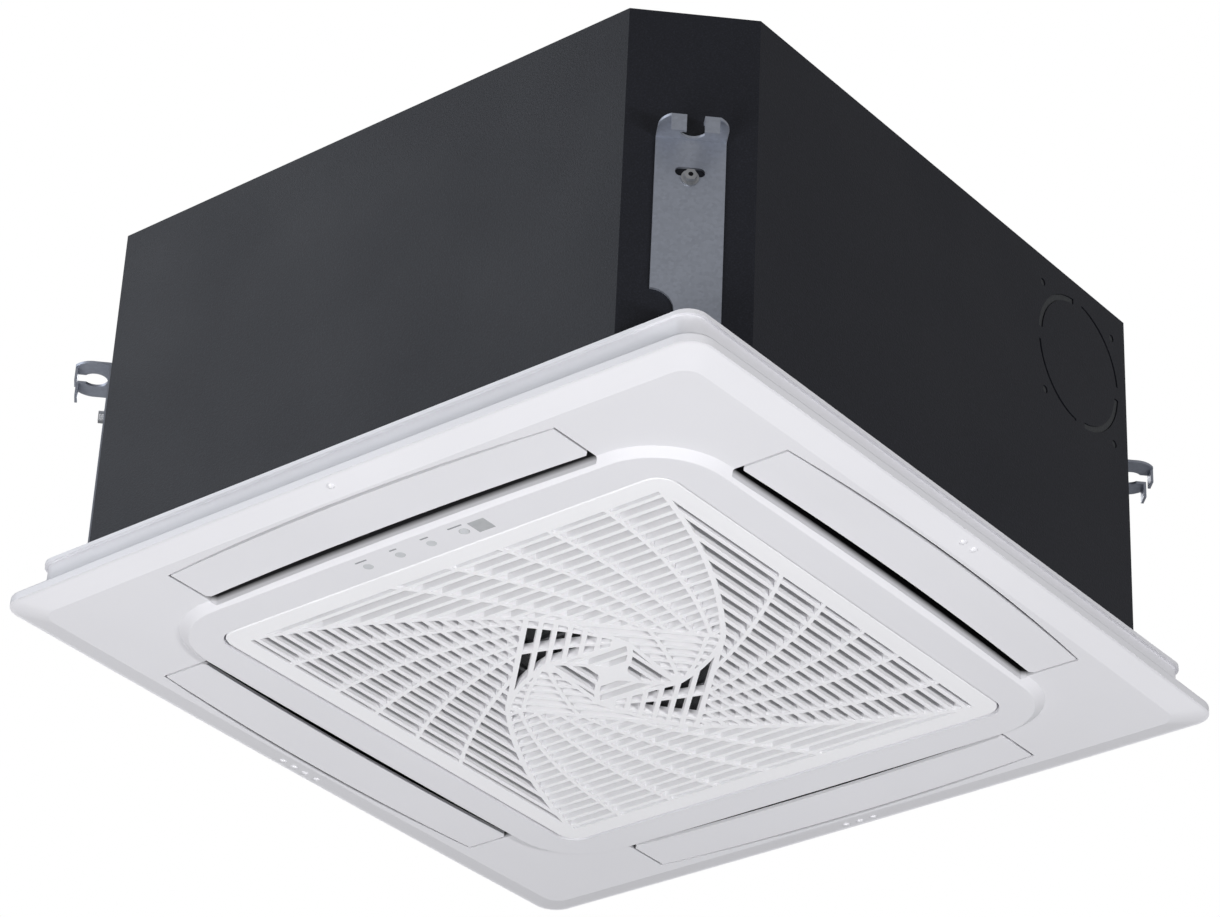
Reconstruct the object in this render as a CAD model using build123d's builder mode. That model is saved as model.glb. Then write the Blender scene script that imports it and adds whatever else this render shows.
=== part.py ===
from build123d import *
from math import cos, hypot, radians, sin, sqrt
import os

# Four-way ceiling cassette air conditioner with its fascia.
# Sizes are in millimetres. +Z points at the ceiling, and z = 0 is the flat underside of the
# fascia's middle frame. The side with the display strip faces -Y and is side 1. Sides 2, 3 and 4
# follow anticlockwise seen from above: +X, +Y and -X.

os.makedirs("parts", exist_ok=True)

# ---------------------------------------------------------------- clearances
moving_gap = 0.5
running_fit = 0.1
slip_fit = 0.1
seat_gap = 0.3
cut_margin = 1.0

# ---------------------------------------------------------------- fascia panel
panel_side = 620.0
panel_bow = 2.8
panel_corner = 18.0
panel_height = 47.0
rim_bottom = 9.5
rim_thickness = 7.0
rim_edge_radius = 1.8
rim_step = 2.0
field_level = 5.0
field_half = 289.0
field_corner = 14.0
skin = 3.0
upstand_half = 292.0
upstand_corner = 12.0
upstand_wall = 3.0
lip_overhang = 2.5
lip_height = 3.0
frame_half = 229.0
frame_flare = 7.0
frame_corner = 52.0
frame_bow = 2.5
frame_skin = 2.5
frame_edge_radius = 1.6
intake_half = 202.1
intake_corner = 17.5
intake_wall = 2.5
ledge_level = 24.0
ledge_thickness = 3.0
ledge_half = 185.0
ledge_corner = 40.0

# Air outlets of the fascia, one a side. The inner and outer edges bow outwards.
slot_half_length = 173.0
slot_inner_end = 233.0
slot_inner_bow = 2.5
slot_outer_end = 280.0
slot_outer_bow = 9.0
slot_cut_length = 3.0
slot_cut_depth = 3.0
duct_wall = 3.0

# ---------------------------------------------------------------- louvres
louvre_gap_end = 2.0
louvre_gap_inner = 8.0
louvre_inner_swell = 2.0
louvre_gap_outer = 1.2
louvre_outer_relief = 1.8
louvre_thickness = 2.4
louvre_axis_reach = 256.0
louvre_axis_level = 12.0
louvre_arm_inset = 5.0
louvre_arm_width = 3.0
louvre_arm_radius = 4.5
louvre_arm_foot = 20.0
louvre_rib_height = 2.0
louvre_rib_width = 1.6
shaft_radius = 2.5
shaft_grip = 3.0
pivot_radius = 2.0
bush_radius = 4.0
bush_flange_radius = 5.5
bush_flange = 1.2
stepper_radius = 12.0
stepper_length = 19.0
stepper_offset = 8.7
stepper_bore_depth = 8.0
stepper_ear_reach = 18.0
stepper_ear_radius = 3.5
stepper_ear_thickness = 1.5
stepper_ear_hole = 1.6

# ---------------------------------------------------------------- intake grille
grille_groove = 1.5
grille_setback = 0.5
grille_plate = 2.8
grille_corner = 16.0
grille_edge = 1.0
grille_rim_wall = 2.2
grille_rim_height = 6.7
pattern_half = 186.0
lattice_depth = 6.5
slat_pitch = 10.65
slat_face = 3.7
arm_width = 4.0
cross_rib = 3.2
smallest_opening = 9.0
straight_row_start = 2.5
turned_row_start = 5.5
outer_rows = 17
middle_rows = 6
inner_rows = 3

hinge_spread = 120.0
hinge_axis_level = 6.2
hinge_axis_reach = 186.5
hinge_pin_radius = 1.5
knuckle_radius = 2.85
knuckle_width = 10.0
hinge_lug_width = 5.0
hinge_lug_radius = 2.3
corner_notch_width = 27.0
corner_notch_depth = 20.0

latch_width = 14.0
latch_length = 12.0
latch_thickness = 2.8
latch_nose_width = 10.0
latch_nose_reach = 2.0
latch_travel = 4.0
latch_rail = 2.0
latch_rail_lip = 1.0

filter_half = 183.0
filter_side_gap = 1.0
filter_frame_width = 11.0
filter_frame_height = 3.0
filter_rib = 3.0
filter_mesh_thickness = 0.8
filter_bays = 3
filter_corner = 10.0
clip_width = 12.0
clip_thickness = 1.6
clip_nose = 2.4
clip_positions = (-60.0, 60.0)

# ---------------------------------------------------------------- display strip
display_reach = 217.0
lamp_positions = (-42.0, -13.0, 15.0)
button_position = 44.0
lamp_radius = 3.6
button_radius = 3.5
button_collar = 1.2
button_travel = 1.0
window_position = 59.0
window_side = 13.8
board_level = 6.2
board_thickness = 1.6
display_board_length = 128.0
display_board_width = 17.0
display_board_middle = 8.5
board_post_radius = 2.5

# ---------------------------------------------------------------- casing
casing_side = 588.0
casing_height = 262.0
sheet = 1.2
chamfer_near = 63.0
chamfer_right = 70.0
chamfer_far = 63.0
chamfer_left = 52.0
knockout_reach = 160.0
knockout_level = 240.0
knockout_radius = 52.0
knockout_slit = 2.2
knockout_band = 4.8
knockout_bridge = 11.0
pilot_radius = 3.0
pilot_spread = 92.0

liner_wall = 8.0
liner_top = 14.0

# ---------------------------------------------------------------- hanger brackets
hanger_width = 47.0
hanger_sheet = 2.0
hanger_tab_level = 206.0
hanger_foot_level = 52.0
hanger_reach = 27.0
hanger_shoulder = 12.0
hanger_tip_width = 33.0
hanger_bulge = 2.0
hanger_slot = 12.0
keyhole_radius = 9.1
keyhole_reach = 12.6
hanger_lip_height = 11.0
hanger_lip_width = 10.0
hanger_notch_radius = 16.0
hanger_notch_level = 69.0
hanger_screw_level = 173.0
hanger_window_width = 20.0
hanger_window_height = 7.0
hanger_window_rise = 5.0
screw_shank_radius = 2.4
screw_flange_radius = 6.0
screw_flange = 1.2
screw_head_radius = 4.6
screw_head = 4.0
screw_length = 12.0

# ---------------------------------------------------------------- heat exchanger
coil_reach = 220.0
coil_thickness = 32.0
coil_bottom = 72.0
coil_height = 220.0
coil_bend = 50.0
coil_left_end = 150.0
coil_rear_end = -150.0
end_plate = 1.5
end_plate_margin = 1.0
tube_radius = 3.5
tube_rows = 16.0
return_count = 4
return_pitch = 50.0
return_bend_radius = 12.5
return_first_level = 100.0

liquid_radius = 3.175
gas_radius = 6.35
liquid_level = 160.0
gas_level = 215.0
pipe_lane = 176.0
pipe_start_reach = 214.0
liquid_bend = 12.0
gas_bend = 20.0
pipe_end = 312.0
pipe_bead = 1.0
pipe_door_width = 76.0
pipe_door_height = 104.0
pipe_plate_margin = 12.0
pipe_plate_level = 187.0
pipe_hole_gap = 0.4
nut_length = 8.0
liquid_nut_flats = 17.0
gas_nut_flats = 24.0

# ---------------------------------------------------------------- drain pan and pump
pan_height = 51.0
pan_side_gap = 0.3
pan_opening_half = 198.0
pan_opening_cut = 36.0
trough_inner = 200.5
trough_outer = 239.5
trough_corner = 30.0
trough_level = 70.0
inner_rim_level = 92.0
coil_rest_width = 6.0
coil_rest_spread = 90.0
pan_duct_inner = 243.0
pan_duct_outer = 284.0
pan_duct_half = 172.0
pan_duct_corner = 8.0
sump_reach = 222.0
sump_radius = 36.0
sump_level = 54.0
plug_radius = 9.0
plug_flange_radius = 13.0
plug_flange = 3.0
plug_offset = 22.0

pump_flange_radius = 42.0
pump_flange = 3.0
pump_volute_radius = 18.0
pump_volute_bottom = 58.0
pump_volute_top = 74.0
pump_neck_radius = 11.0
pump_motor_radius = 23.0
pump_motor_top = 150.0
spout_place = -184.5
spout_radius = 6.9
spout_bore = 5.0
spout_height = 20.0
hose_radius = 9.0
hose_bore = 7.0
hose_bend = 25.0
hose_end = 282.0
socket_level = 240.0
socket_outer_radius = 12.5
socket_spigot_radius = 13.5
socket_spigot = 1.0
socket_bore = 5.0
socket_flange_radius = 18.0
socket_flange = 3.0
socket_length = 15.0
socket_root = 268.0

switch_offset = 20.0
stem_radius = 2.5
stem_foot_radius = 4.0
stem_foot = 2.0
stem_bottom = 63.0
stem_head_radius = 4.5
stem_head = 11.0
float_radius = 7.0
float_height = 12.0
float_travel = 12.0

# ---------------------------------------------------------------- fan and bell mouth
bell_plate = 3.0
bell_flare_radius = 24.0
bell_throat = 146.0
bell_wall = 2.0
fan_radius = 176.0
shroud_inlet = 151.5
shroud_bottom = 108.0
shroud_lip = 8.0
shroud_edge_level = 142.0
shroud_wall = 2.2
shroud_bulge_out = 0.33
shroud_bulge_up = 0.72
blade_lead = 17.6
hub_plate_level = 243.0
hub_plate = 2.4
dish_radius = 98.0
dish_floor_radius = 84.0
dish_floor_level = 209.0
boss_radius = 14.0
boss_bottom = 198.0
blade_count = 7
blade_thickness = 2.6
blade_inner = 104.0
blade_outer = 173.0
blade_sweep = 34.0
blade_sag = 10.0
motor_shaft_radius = 5.0
shaft_bottom = 187.0
shaft_top = 262.0
fan_nut_flats = 13.0
fan_nut_height = 6.0
washer_radius = 11.0
washer_height = 2.0

motor_radius = 64.0
motor_bottom = 226.0
motor_top = 284.0
motor_boss_radius = 18.0
motor_boss = 4.0
motor_edge_radius = 8.0
motor_ear_reach = 78.0
motor_ear_radius = 12.0
motor_ear_level = 276.0
motor_ear_thickness = 4.0
mount_radius = 9.0
mount_neck_radius = 6.5
mount_pad = 4.0
bolt_radius = 3.0
bolt_post_radius = 6.0
bolt_head_flats = 10.0
bolt_head = 5.0
motor_feet = 3

# ---------------------------------------------------------------- control box
box_half_length = 150.0
box_front = 153.0
box_rear = 196.0
box_bottom = 52.0
box_sheet = 1.2
box_cover_overlap = 1.0
board_stand = 6.0
board_post_inset = 5.0
control_board_half_length = 135.0
control_board_margin = 3.0
terminal_length = 64.0
terminal_width = 22.0
terminal_height = 16.0
terminal_place = -100.0
terminal_ways = 5
capacitor_length = 40.0
capacitor_width = 22.0
capacitor_height = 18.0
capacitor_place = 90.0
capacitor_corner = 2.0

# ---------------------------------------------------------------- wiring grommet, panel screws
grommet_place = 200.0
grommet_level = 250.0
grommet_radius = 11.0
grommet_bore = 7.0
grommet_flange_radius = 15.0
grommet_flange = 2.5
panel_screw_reach = 190.0
panel_screw_radius = 2.5
panel_screw_head_radius = 5.0
panel_screw_head = 2.6
panel_screw_edge = 0.9
panel_screw_depth = 12.0
screw_boss_radius = 6.0
seal_inner_half = 199.0
seal_outer_half = 206.0
seal_inner_corner = 12.0
seal_height = 3.0

# ---------------------------------------------------------------- levels worked out
casing_bottom = panel_height
casing_top = casing_bottom + casing_height
pan_top = casing_bottom + pan_height
liner_under = casing_top - sheet - liner_top
side_turns = (0, 90, 180, 270)
corner_turns = (-45, 45, 135, 225)
corner_legs = (chamfer_near, chamfer_right, chamfer_far, chamfer_left)
grille_half = intake_half - grille_groove
grille_back = grille_setback + grille_plate
lattice_back = grille_setback + lattice_depth


# ---------------------------------------------------------------- shared planes and outlines
def side_plane(turn, level=0.0):
    """Level plane whose x runs along the side turned by so many degrees, with the side at -y."""
    angle = radians(turn)
    return Plane(origin=(0, 0, level), x_dir=(cos(angle), sin(angle), 0), z_dir=(0, 0, 1))


def section_plane(turn, along):
    """Upright plane across a side: x points outwards, y up, and its normal back along the side."""
    angle = radians(turn)
    run = Vector(cos(angle), sin(angle), 0)
    return Plane(origin=run * along, x_dir=(sin(angle), -cos(angle), 0), z_dir=-run)


def corner_plane(turn, leg):
    """Outer face of a chamfered corner seen from outside: x to the right and y up."""
    angle = radians(turn)
    normal = Vector(cos(angle), sin(angle), 0)
    reach = (casing_side - leg) / sqrt(2)
    return Plane(origin=normal * reach, x_dir=(-sin(angle), cos(angle), 0), z_dir=normal)


right_wall = Plane(origin=(casing_side / 2, 0, 0), x_dir=(0, 1, 0), z_dir=(1, 0, 0))
rear_wall = Plane(origin=(0, casing_side / 2, 0), x_dir=(-1, 0, 0), z_dir=(0, 1, 0))
left_wall = Plane(origin=(-casing_side / 2, 0, 0), x_dir=(0, -1, 0), z_dir=(-1, 0, 0))


def bowed_square(half, corner, bow):
    """Square whose sides swell outwards by bow at their middles, with rounded corners."""
    with BuildSketch() as outline:
        with BuildLine():
            for turn in side_turns:
                ThreePointArc(
                    Vector(-half, -half).rotate(Axis.Z, turn),
                    Vector(0, -half - bow).rotate(Axis.Z, turn),
                    Vector(half, -half).rotate(Axis.Z, turn),
                )
        make_face()
        fillet(outline.vertices(), corner)
    return outline.sketch


def rounded_square(half, corner):
    """Straight-sided square with rounded corners."""
    with BuildSketch() as outline:
        RectangleRounded(2 * half, 2 * half, corner)
    return outline.sketch


def casing_outline(inset):
    """Plan of the casing, a square with four cut corners, with every wall moved in by inset."""
    half = casing_side / 2 - inset
    near, right, far, left = [leg - inset * (2 - sqrt(2)) for leg in corner_legs]
    with BuildSketch() as outline:
        with BuildLine():
            Polyline(
                (half - near, -half),
                (half, -half + near),
                (half, half - right),
                (half - right, half),
                (-half + far, half),
                (-half, half - far),
                (-half, -half + left),
                (-half + left, -half),
                close=True,
            )
        make_face()
    return outline.sketch


def outlet_outline(grow, inner_shift=0.0, swell=0.0, relief=0.0, shorten=0.0):
    """Plan of one air outlet on side 1, with bowed long edges and cut inner corners.

    grow widens it all round. inner_shift moves the inner edge in and swell bows it more,
    relief flattens the outer edge, and shorten takes that much off each end.
    """
    half = slot_half_length - shorten
    inner = slot_inner_end + inner_shift
    outer = slot_outer_end - louvre_gap_outer * bool(shorten)
    cut = half - slot_cut_length
    with BuildSketch() as outline:
        with BuildLine():
            ThreePointArc((-cut, -inner), (0, -inner - slot_inner_bow - swell), (cut, -inner))
            Line((cut, -inner), (half, -inner - slot_cut_depth))
            Line((half, -inner - slot_cut_depth), (half, -outer))
            ThreePointArc((half, -outer), (0, -outer - slot_outer_bow + relief), (-half, -outer))
            Line((-half, -outer), (-half, -inner - slot_cut_depth))
            Line((-half, -inner - slot_cut_depth), (-cut, -inner))
        make_face()
        if grow:
            offset(amount=grow, kind=Kind.INTERSECTION)
    return outline.sketch


# ================================================================ fascia panel
louvre_half = slot_half_length - louvre_gap_end
arm_middle = louvre_half - louvre_arm_inset
duct_end = slot_half_length + duct_wall

with BuildPart() as fascia_panel:
    # Sloping underside of the rim, down to the level field that holds the louvres.
    with BuildSketch(Plane.XY.offset(field_level)):
        add(bowed_square(field_half, field_corner, panel_bow))
    with BuildSketch(Plane.XY.offset(rim_bottom)):
        add(bowed_square(panel_side / 2 - rim_step, panel_corner - rim_step, panel_bow))
    loft()
    with BuildSketch(Plane.XY.offset(rim_bottom)):
        add(bowed_square(panel_side / 2, panel_corner, panel_bow))
    extrude(amount=rim_thickness)
    rim_top = fascia_panel.faces().sort_by(Axis.Z)[-1]
    fillet(rim_top.outer_wire().edges(), rim_edge_radius)
    # Upstand behind the rim, with the lip that meets the casing.
    with BuildSketch(Plane.XY.offset(rim_bottom + rim_thickness)):
        add(rounded_square(upstand_half, upstand_corner))
    extrude(amount=panel_height - rim_bottom - rim_thickness)
    with BuildSketch(Plane.XY.offset(panel_height - lip_height)):
        add(rounded_square(upstand_half + lip_overhang, upstand_corner + lip_overhang))
    extrude(amount=lip_height)
    # Raised middle frame with its flared, rounded flank.
    with BuildSketch():
        add(bowed_square(frame_half, frame_corner, frame_bow))
    with BuildSketch(Plane.XY.offset(field_level)):
        add(bowed_square(frame_half + frame_flare, frame_corner + frame_flare, frame_bow))
    loft()
    frame_face = fascia_panel.faces().sort_by(Axis.Z)[0]
    fillet(frame_face.outer_wire().edges(), frame_edge_radius)
    # Hollow back: a deep pocket over the field and a deeper one inside the frame.
    with BuildSketch(Plane.XY.offset(field_level + skin)):
        add(rounded_square(upstand_half - upstand_wall, upstand_corner - upstand_wall))
    extrude(amount=panel_height, mode=Mode.SUBTRACT)
    with BuildSketch(Plane.XY.offset(frame_skin)):
        add(bowed_square(frame_half, frame_corner, frame_bow))
    extrude(amount=panel_height, mode=Mode.SUBTRACT)
    # Wall of the intake and the ledge behind the grille.
    with BuildSketch():
        add(rounded_square(intake_half + intake_wall, intake_corner + intake_wall))
    extrude(amount=panel_height - seal_height)
    with BuildSketch(Plane.XY.offset(-cut_margin)):
        add(rounded_square(intake_half, intake_corner))
    extrude(amount=panel_height + cut_margin, mode=Mode.SUBTRACT)
    with BuildSketch(Plane.XY.offset(ledge_level)):
        add(rounded_square(intake_half + intake_wall / 2, intake_corner + intake_wall / 2))
        add(rounded_square(ledge_half, ledge_corner), mode=Mode.SUBTRACT)
    extrude(amount=ledge_thickness)
    with BuildSketch(Plane.XY.offset(ledge_level)):
        with GridLocations(2 * panel_screw_reach, 2 * panel_screw_reach, 2, 2):
            Circle(screw_boss_radius)
    extrude(amount=panel_height - ledge_level)
    with BuildSketch(Plane.XY.offset(ledge_level - cut_margin)):
        with GridLocations(2 * panel_screw_reach, 2 * panel_screw_reach, 2, 2):
            Circle(panel_screw_radius + slip_fit)
    extrude(amount=panel_height, mode=Mode.SUBTRACT)
    # Outlet ducts, up to the drain pan.
    for turn in side_turns:
        with BuildSketch(side_plane(turn, field_level + skin / 2)):
            add(outlet_outline(duct_wall))
            add(rounded_square(upstand_half, upstand_corner), mode=Mode.INTERSECT)
        extrude(amount=panel_height - field_level - skin / 2)
    for turn in side_turns:
        with BuildSketch(side_plane(turn, -cut_margin)):
            add(outlet_outline(0))
        extrude(amount=panel_height + 2 * cut_margin, mode=Mode.SUBTRACT)
        with BuildSketch(section_plane(turn, duct_end + cut_margin)):
            with Locations((louvre_axis_reach, louvre_axis_level)):
                Circle(shaft_radius + moving_gap)
        extrude(amount=duct_wall + 2 * cut_margin, mode=Mode.SUBTRACT)
        with BuildSketch(section_plane(turn, cut_margin - slot_half_length)):
            with Locations((louvre_axis_reach, louvre_axis_level)):
                Circle(bush_radius + slip_fit)
        extrude(amount=duct_wall + 2 * cut_margin, mode=Mode.SUBTRACT)
    # Lugs that carry the grille's hinge pins, hung from the ledge on side 3.
    for hinge in (-hinge_spread, hinge_spread):
        for side in (-1, 1):
            middle = hinge + side * (knuckle_width / 2 + moving_gap + hinge_lug_width / 2)
            with BuildSketch(Plane.YZ.offset(middle - hinge_lug_width / 2)):
                with Locations((hinge_axis_reach, hinge_axis_level)):
                    Circle(hinge_lug_radius)
                lug_height = ledge_level + ledge_thickness / 2 - hinge_axis_level
                with Locations((hinge_axis_reach, hinge_axis_level + lug_height / 2)):
                    Rectangle(2 * hinge_lug_radius, lug_height)
                with Locations((hinge_axis_reach, hinge_axis_level)):
                    Circle(hinge_pin_radius + slip_fit / 2, mode=Mode.SUBTRACT)
            extrude(amount=hinge_lug_width)
    # Catch windows for the grille latches on side 1.
    catch_height = latch_thickness + 2 * moving_gap
    with BuildSketch(Plane.XZ.offset(intake_half - cut_margin)):
        with Locations(
            (-hinge_spread, grille_back + seat_gap + latch_thickness / 2),
            (hinge_spread, grille_back + seat_gap + latch_thickness / 2),
        ):
            Rectangle(latch_nose_width + 2 * moving_gap, catch_height)
    extrude(amount=intake_wall + cut_margin, mode=Mode.SUBTRACT)
    # Holes of the display strip and the posts under its board.
    with BuildSketch(Plane.XY.offset(-cut_margin)):
        with Locations(*[(place, -display_reach) for place in lamp_positions]):
            Circle(lamp_radius + slip_fit)
        with Locations((button_position, -display_reach)):
            Circle(button_radius + seat_gap)
        with Locations((window_position, -display_reach)):
            Rectangle(window_side + 2 * slip_fit, window_side + 2 * slip_fit)
    extrude(amount=frame_skin + 2 * cut_margin, mode=Mode.SUBTRACT)
    with BuildSketch(Plane.XY.offset(frame_skin / 2)):
        with Locations((display_board_middle, -display_reach)):
            with GridLocations(display_board_length - 2 * board_post_radius, 0, 2, 1):
                Circle(board_post_radius)
    extrude(amount=board_level - frame_skin / 2)
fascia_panel.part.label = "fascia_panel"
export_step(fascia_panel.part, "parts/fascia_panel.step")

with BuildPart() as intake_seal:
    with BuildSketch(Plane.XY.offset(panel_height - seal_height)):
        add(rounded_square(seal_outer_half, intake_corner + intake_wall))
        add(rounded_square(seal_inner_half, seal_inner_corner), mode=Mode.SUBTRACT)
    extrude(amount=seal_height)
intake_seal.part.label = "intake_seal"
export_step(intake_seal.part, "parts/intake_seal.step")

with BuildPart() as panel_screws:
    with BuildSketch(Plane.XY.offset(ledge_level - panel_screw_head)):
        with GridLocations(2 * panel_screw_reach, 2 * panel_screw_reach, 2, 2):
            Circle(panel_screw_head_radius)
    extrude(amount=panel_screw_head)
    with BuildSketch(Plane.XY.offset(ledge_level)):
        with GridLocations(2 * panel_screw_reach, 2 * panel_screw_reach, 2, 2):
            Circle(panel_screw_radius)
    extrude(amount=panel_height + panel_screw_depth - ledge_level)
    head_rims = panel_screws.edges().filter_by(GeomType.CIRCLE).group_by(Axis.Z)[0]
    chamfer(head_rims, panel_screw_edge)
panel_screws.part.label = "panel_screws"
export_step(panel_screws.part, "parts/panel_screws.step")

# ================================================================ display strip
with BuildPart() as display_board:
    with BuildSketch(Plane.XY.offset(board_level)):
        with Locations((display_board_middle, -display_reach)):
            Rectangle(display_board_length, display_board_width)
    extrude(amount=board_thickness)
display_board.part.label = "display_board"
export_step(display_board.part, "parts/display_board.step")

with BuildPart() as display_window:
    with BuildSketch():
        with Locations((window_position, -display_reach)):
            Rectangle(window_side, window_side)
    extrude(amount=board_level)
display_window.part.label = "display_window"
export_step(display_window.part, "parts/display_window.step")

with BuildPart() as lamp_lenses:
    with BuildSketch():
        with Locations(*[(place, -display_reach) for place in lamp_positions]):
            Circle(lamp_radius)
    extrude(amount=board_level)
lamp_lenses.part.label = "lamp_lenses"
export_step(lamp_lenses.part, "parts/lamp_lenses.step")

with BuildPart() as manual_button:
    with BuildSketch():
        with Locations((button_position, -display_reach)):
            Circle(button_radius)
    extrude(amount=frame_skin + seat_gap)
    with BuildSketch(Plane.XY.offset(frame_skin + seat_gap)):
        with Locations((button_position, -display_reach)):
            Circle(button_radius + button_collar)
    extrude(amount=board_level - button_travel - frame_skin - 2 * seat_gap)
manual_button.part.label = "manual_button"
export_step(manual_button.part, "parts/manual_button.step")

# ================================================================ louvres and their drives
for number, turn in enumerate(side_turns, start=1):
    with BuildPart() as louvre:
        with BuildSketch(side_plane(turn, field_level)):
            add(
                outlet_outline(
                    0, louvre_gap_inner, louvre_inner_swell, louvre_outer_relief, louvre_gap_end
                )
            )
        extrude(amount=louvre_thickness)
        blade_top = field_level + louvre_thickness
        # Stiffening rib along the back.
        with BuildSketch(side_plane(turn, blade_top)):
            with Locations((0, -louvre_axis_reach)):
                Rectangle(2 * arm_middle, louvre_rib_width)
        extrude(amount=louvre_rib_height)
        # Arms at both ends, up to the pivot line.
        for end in (arm_middle + louvre_arm_width / 2, -arm_middle + louvre_arm_width / 2):
            with BuildSketch(section_plane(turn, end)):
                with BuildLine():
                    foot = louvre_arm_foot / 2
                    left_foot = (louvre_axis_reach - foot + louvre_arm_radius, blade_top)
                    right_foot = (louvre_axis_reach + foot, blade_top)
                    crown = (louvre_axis_reach, louvre_axis_level + louvre_arm_radius)
                    left_side = (louvre_axis_reach - louvre_arm_radius, louvre_axis_level)
                    right_side = (louvre_axis_reach + louvre_arm_radius, louvre_axis_level)
                    Polyline(left_side, left_foot, right_foot, right_side)
                    ThreePointArc(right_side, crown, left_side)
                make_face()
            extrude(amount=louvre_arm_width)
        # Socket for the drive shaft at one end, pivot pin at the other.
        with BuildSketch(section_plane(turn, arm_middle + louvre_arm_width)):
            with Locations((louvre_axis_reach, louvre_axis_level)):
                Circle(shaft_radius + slip_fit / 2)
        extrude(amount=2 * louvre_arm_width, mode=Mode.SUBTRACT)
        with BuildSketch(section_plane(turn, -arm_middle)):
            with Locations((louvre_axis_reach, louvre_axis_level)):
                Circle(pivot_radius)
        extrude(amount=duct_end + cut_margin - arm_middle)
    louvre.part.label = f"louvre_{number}"
    export_step(louvre.part, f"parts/louvre_{number}.step")

    with BuildPart() as louvre_shaft:
        with BuildSketch(section_plane(turn, duct_end + stepper_bore_depth - moving_gap)):
            with Locations((louvre_axis_reach, louvre_axis_level)):
                Circle(shaft_radius)
        extrude(amount=duct_end + stepper_bore_depth - moving_gap - arm_middle + shaft_grip)
    louvre_shaft.part.label = f"louvre_shaft_{number}"
    export_step(louvre_shaft.part, f"parts/louvre_shaft_{number}.step")

    with BuildPart() as louvre_motor:
        stepper_level = louvre_axis_level + stepper_offset
        with BuildSketch(section_plane(turn, duct_end + stepper_length)):
            with Locations((louvre_axis_reach, stepper_level)):
                Circle(stepper_radius)
        extrude(amount=stepper_length)
        with BuildSketch(section_plane(turn, duct_end + stepper_ear_thickness)):
            with Locations((louvre_axis_reach, stepper_level)):
                SlotCenterToCenter(2 * stepper_ear_reach, 2 * stepper_ear_radius)
        extrude(amount=stepper_ear_thickness)
        with BuildSketch(section_plane(turn, duct_end + stepper_ear_thickness)):
            with Locations((louvre_axis_reach, stepper_level)):
                with GridLocations(2 * stepper_ear_reach, 0, 2, 1):
                    Circle(stepper_ear_hole)
        extrude(amount=stepper_ear_thickness, mode=Mode.SUBTRACT)
        with BuildSketch(section_plane(turn, duct_end + stepper_bore_depth)):
            with Locations((louvre_axis_reach, louvre_axis_level)):
                Circle(shaft_radius + running_fit)
        extrude(amount=stepper_bore_depth + cut_margin, mode=Mode.SUBTRACT)
    louvre_motor.part.label = f"louvre_motor_{number}"
    export_step(louvre_motor.part, f"parts/louvre_motor_{number}.step")

with BuildPart() as pivot_bushes:
    for turn in side_turns:
        with BuildSketch(section_plane(turn, bush_flange - slot_half_length)):
            with Locations((louvre_axis_reach, louvre_axis_level)):
                Circle(bush_flange_radius)
        extrude(amount=bush_flange)
        with BuildSketch(section_plane(turn, -slot_half_length)):
            with Locations((louvre_axis_reach, louvre_axis_level)):
                Circle(bush_radius)
        extrude(amount=duct_wall)
        with BuildSketch(section_plane(turn, bush_flange - slot_half_length)):
            with Locations((louvre_axis_reach, louvre_axis_level)):
                Circle(pivot_radius + running_fit)
        extrude(amount=duct_wall + 2 * bush_flange, mode=Mode.SUBTRACT)
pivot_bushes.part.label = "pivot_bushes"
export_step(pivot_bushes.part, "parts/pivot_bushes.step")

# ================================================================ intake grille
# The pattern is a whirl with four-fold symmetry. Everything here is drawn for the sector of
# side 1 and turned three times. Three squares sit inside each other, each turned against the
# last, and curved arms run from their corners.
slat_span = 3 * pattern_half
outer_corner = (-pattern_half, -pattern_half)
outer_arm_middle = (-66, -140)
middle_corner = (0, -98)
middle_arm_middle = (25.5, -61)
inner_corner = (37, -30)
inner_arm_middle = (26, -14)
core_corner = (12, -2)

outer_cross_ribs = (
    ((139, -pattern_half), (128, -98), (92, -6)),
    ((90, -pattern_half), (95, -98), (84, -14)),
    ((47, -pattern_half), (70, -98), (71, -27)),
    ((0, -pattern_half), (45, -98), (60, -38)),
    ((-50, -pattern_half), (5, -115), (36, -62)),
)
middle_cross_ribs = (
    ((-37, -61), (0, -49), (36, -32)),
    ((-8, -90), (14, -66), (35, -37)),
)


def quarter_turn(point, turns=1):
    """The point turned about the middle of the grille by quarter turns."""
    place = Vector(*point).rotate(Axis.Z, 90 * turns)
    return (place.X, place.Y)


def sector_openings(start, arm_middle_point, end, slat_angle, rows, first_row, ribs):
    """Gaps between the slats of one sector.

    The sector lies between a side, the arm from its start corner, the same arm turned a quarter
    turn, and the square inside. Slats run at slat_angle, and curved ribs cross them.
    """
    with BuildSketch() as gaps:
        with BuildLine() as rim:
            Line(start, quarter_turn(start))
            ThreePointArc(quarter_turn(start), quarter_turn(arm_middle_point), quarter_turn(end))
            Line(quarter_turn(end), end)
            ThreePointArc(end, arm_middle_point, start)
        make_face()
        for edge in rim.edges():
            trace(edge, line_width=arm_width, mode=Mode.SUBTRACT)
        for row in range(rows):
            slat_middle = Vector(0, first_row + row * slat_pitch).rotate(Axis.Z, slat_angle)
            with Locations(Location(slat_middle, (0, 0, slat_angle))):
                Rectangle(slat_span, slat_face, mode=Mode.SUBTRACT)
        for rib in ribs:
            trace(Edge.make_three_point_arc(*rib), line_width=cross_rib, mode=Mode.SUBTRACT)
    wide = [face for face in gaps.faces() if face.area > smallest_opening]
    return Sketch() + wide


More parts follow.
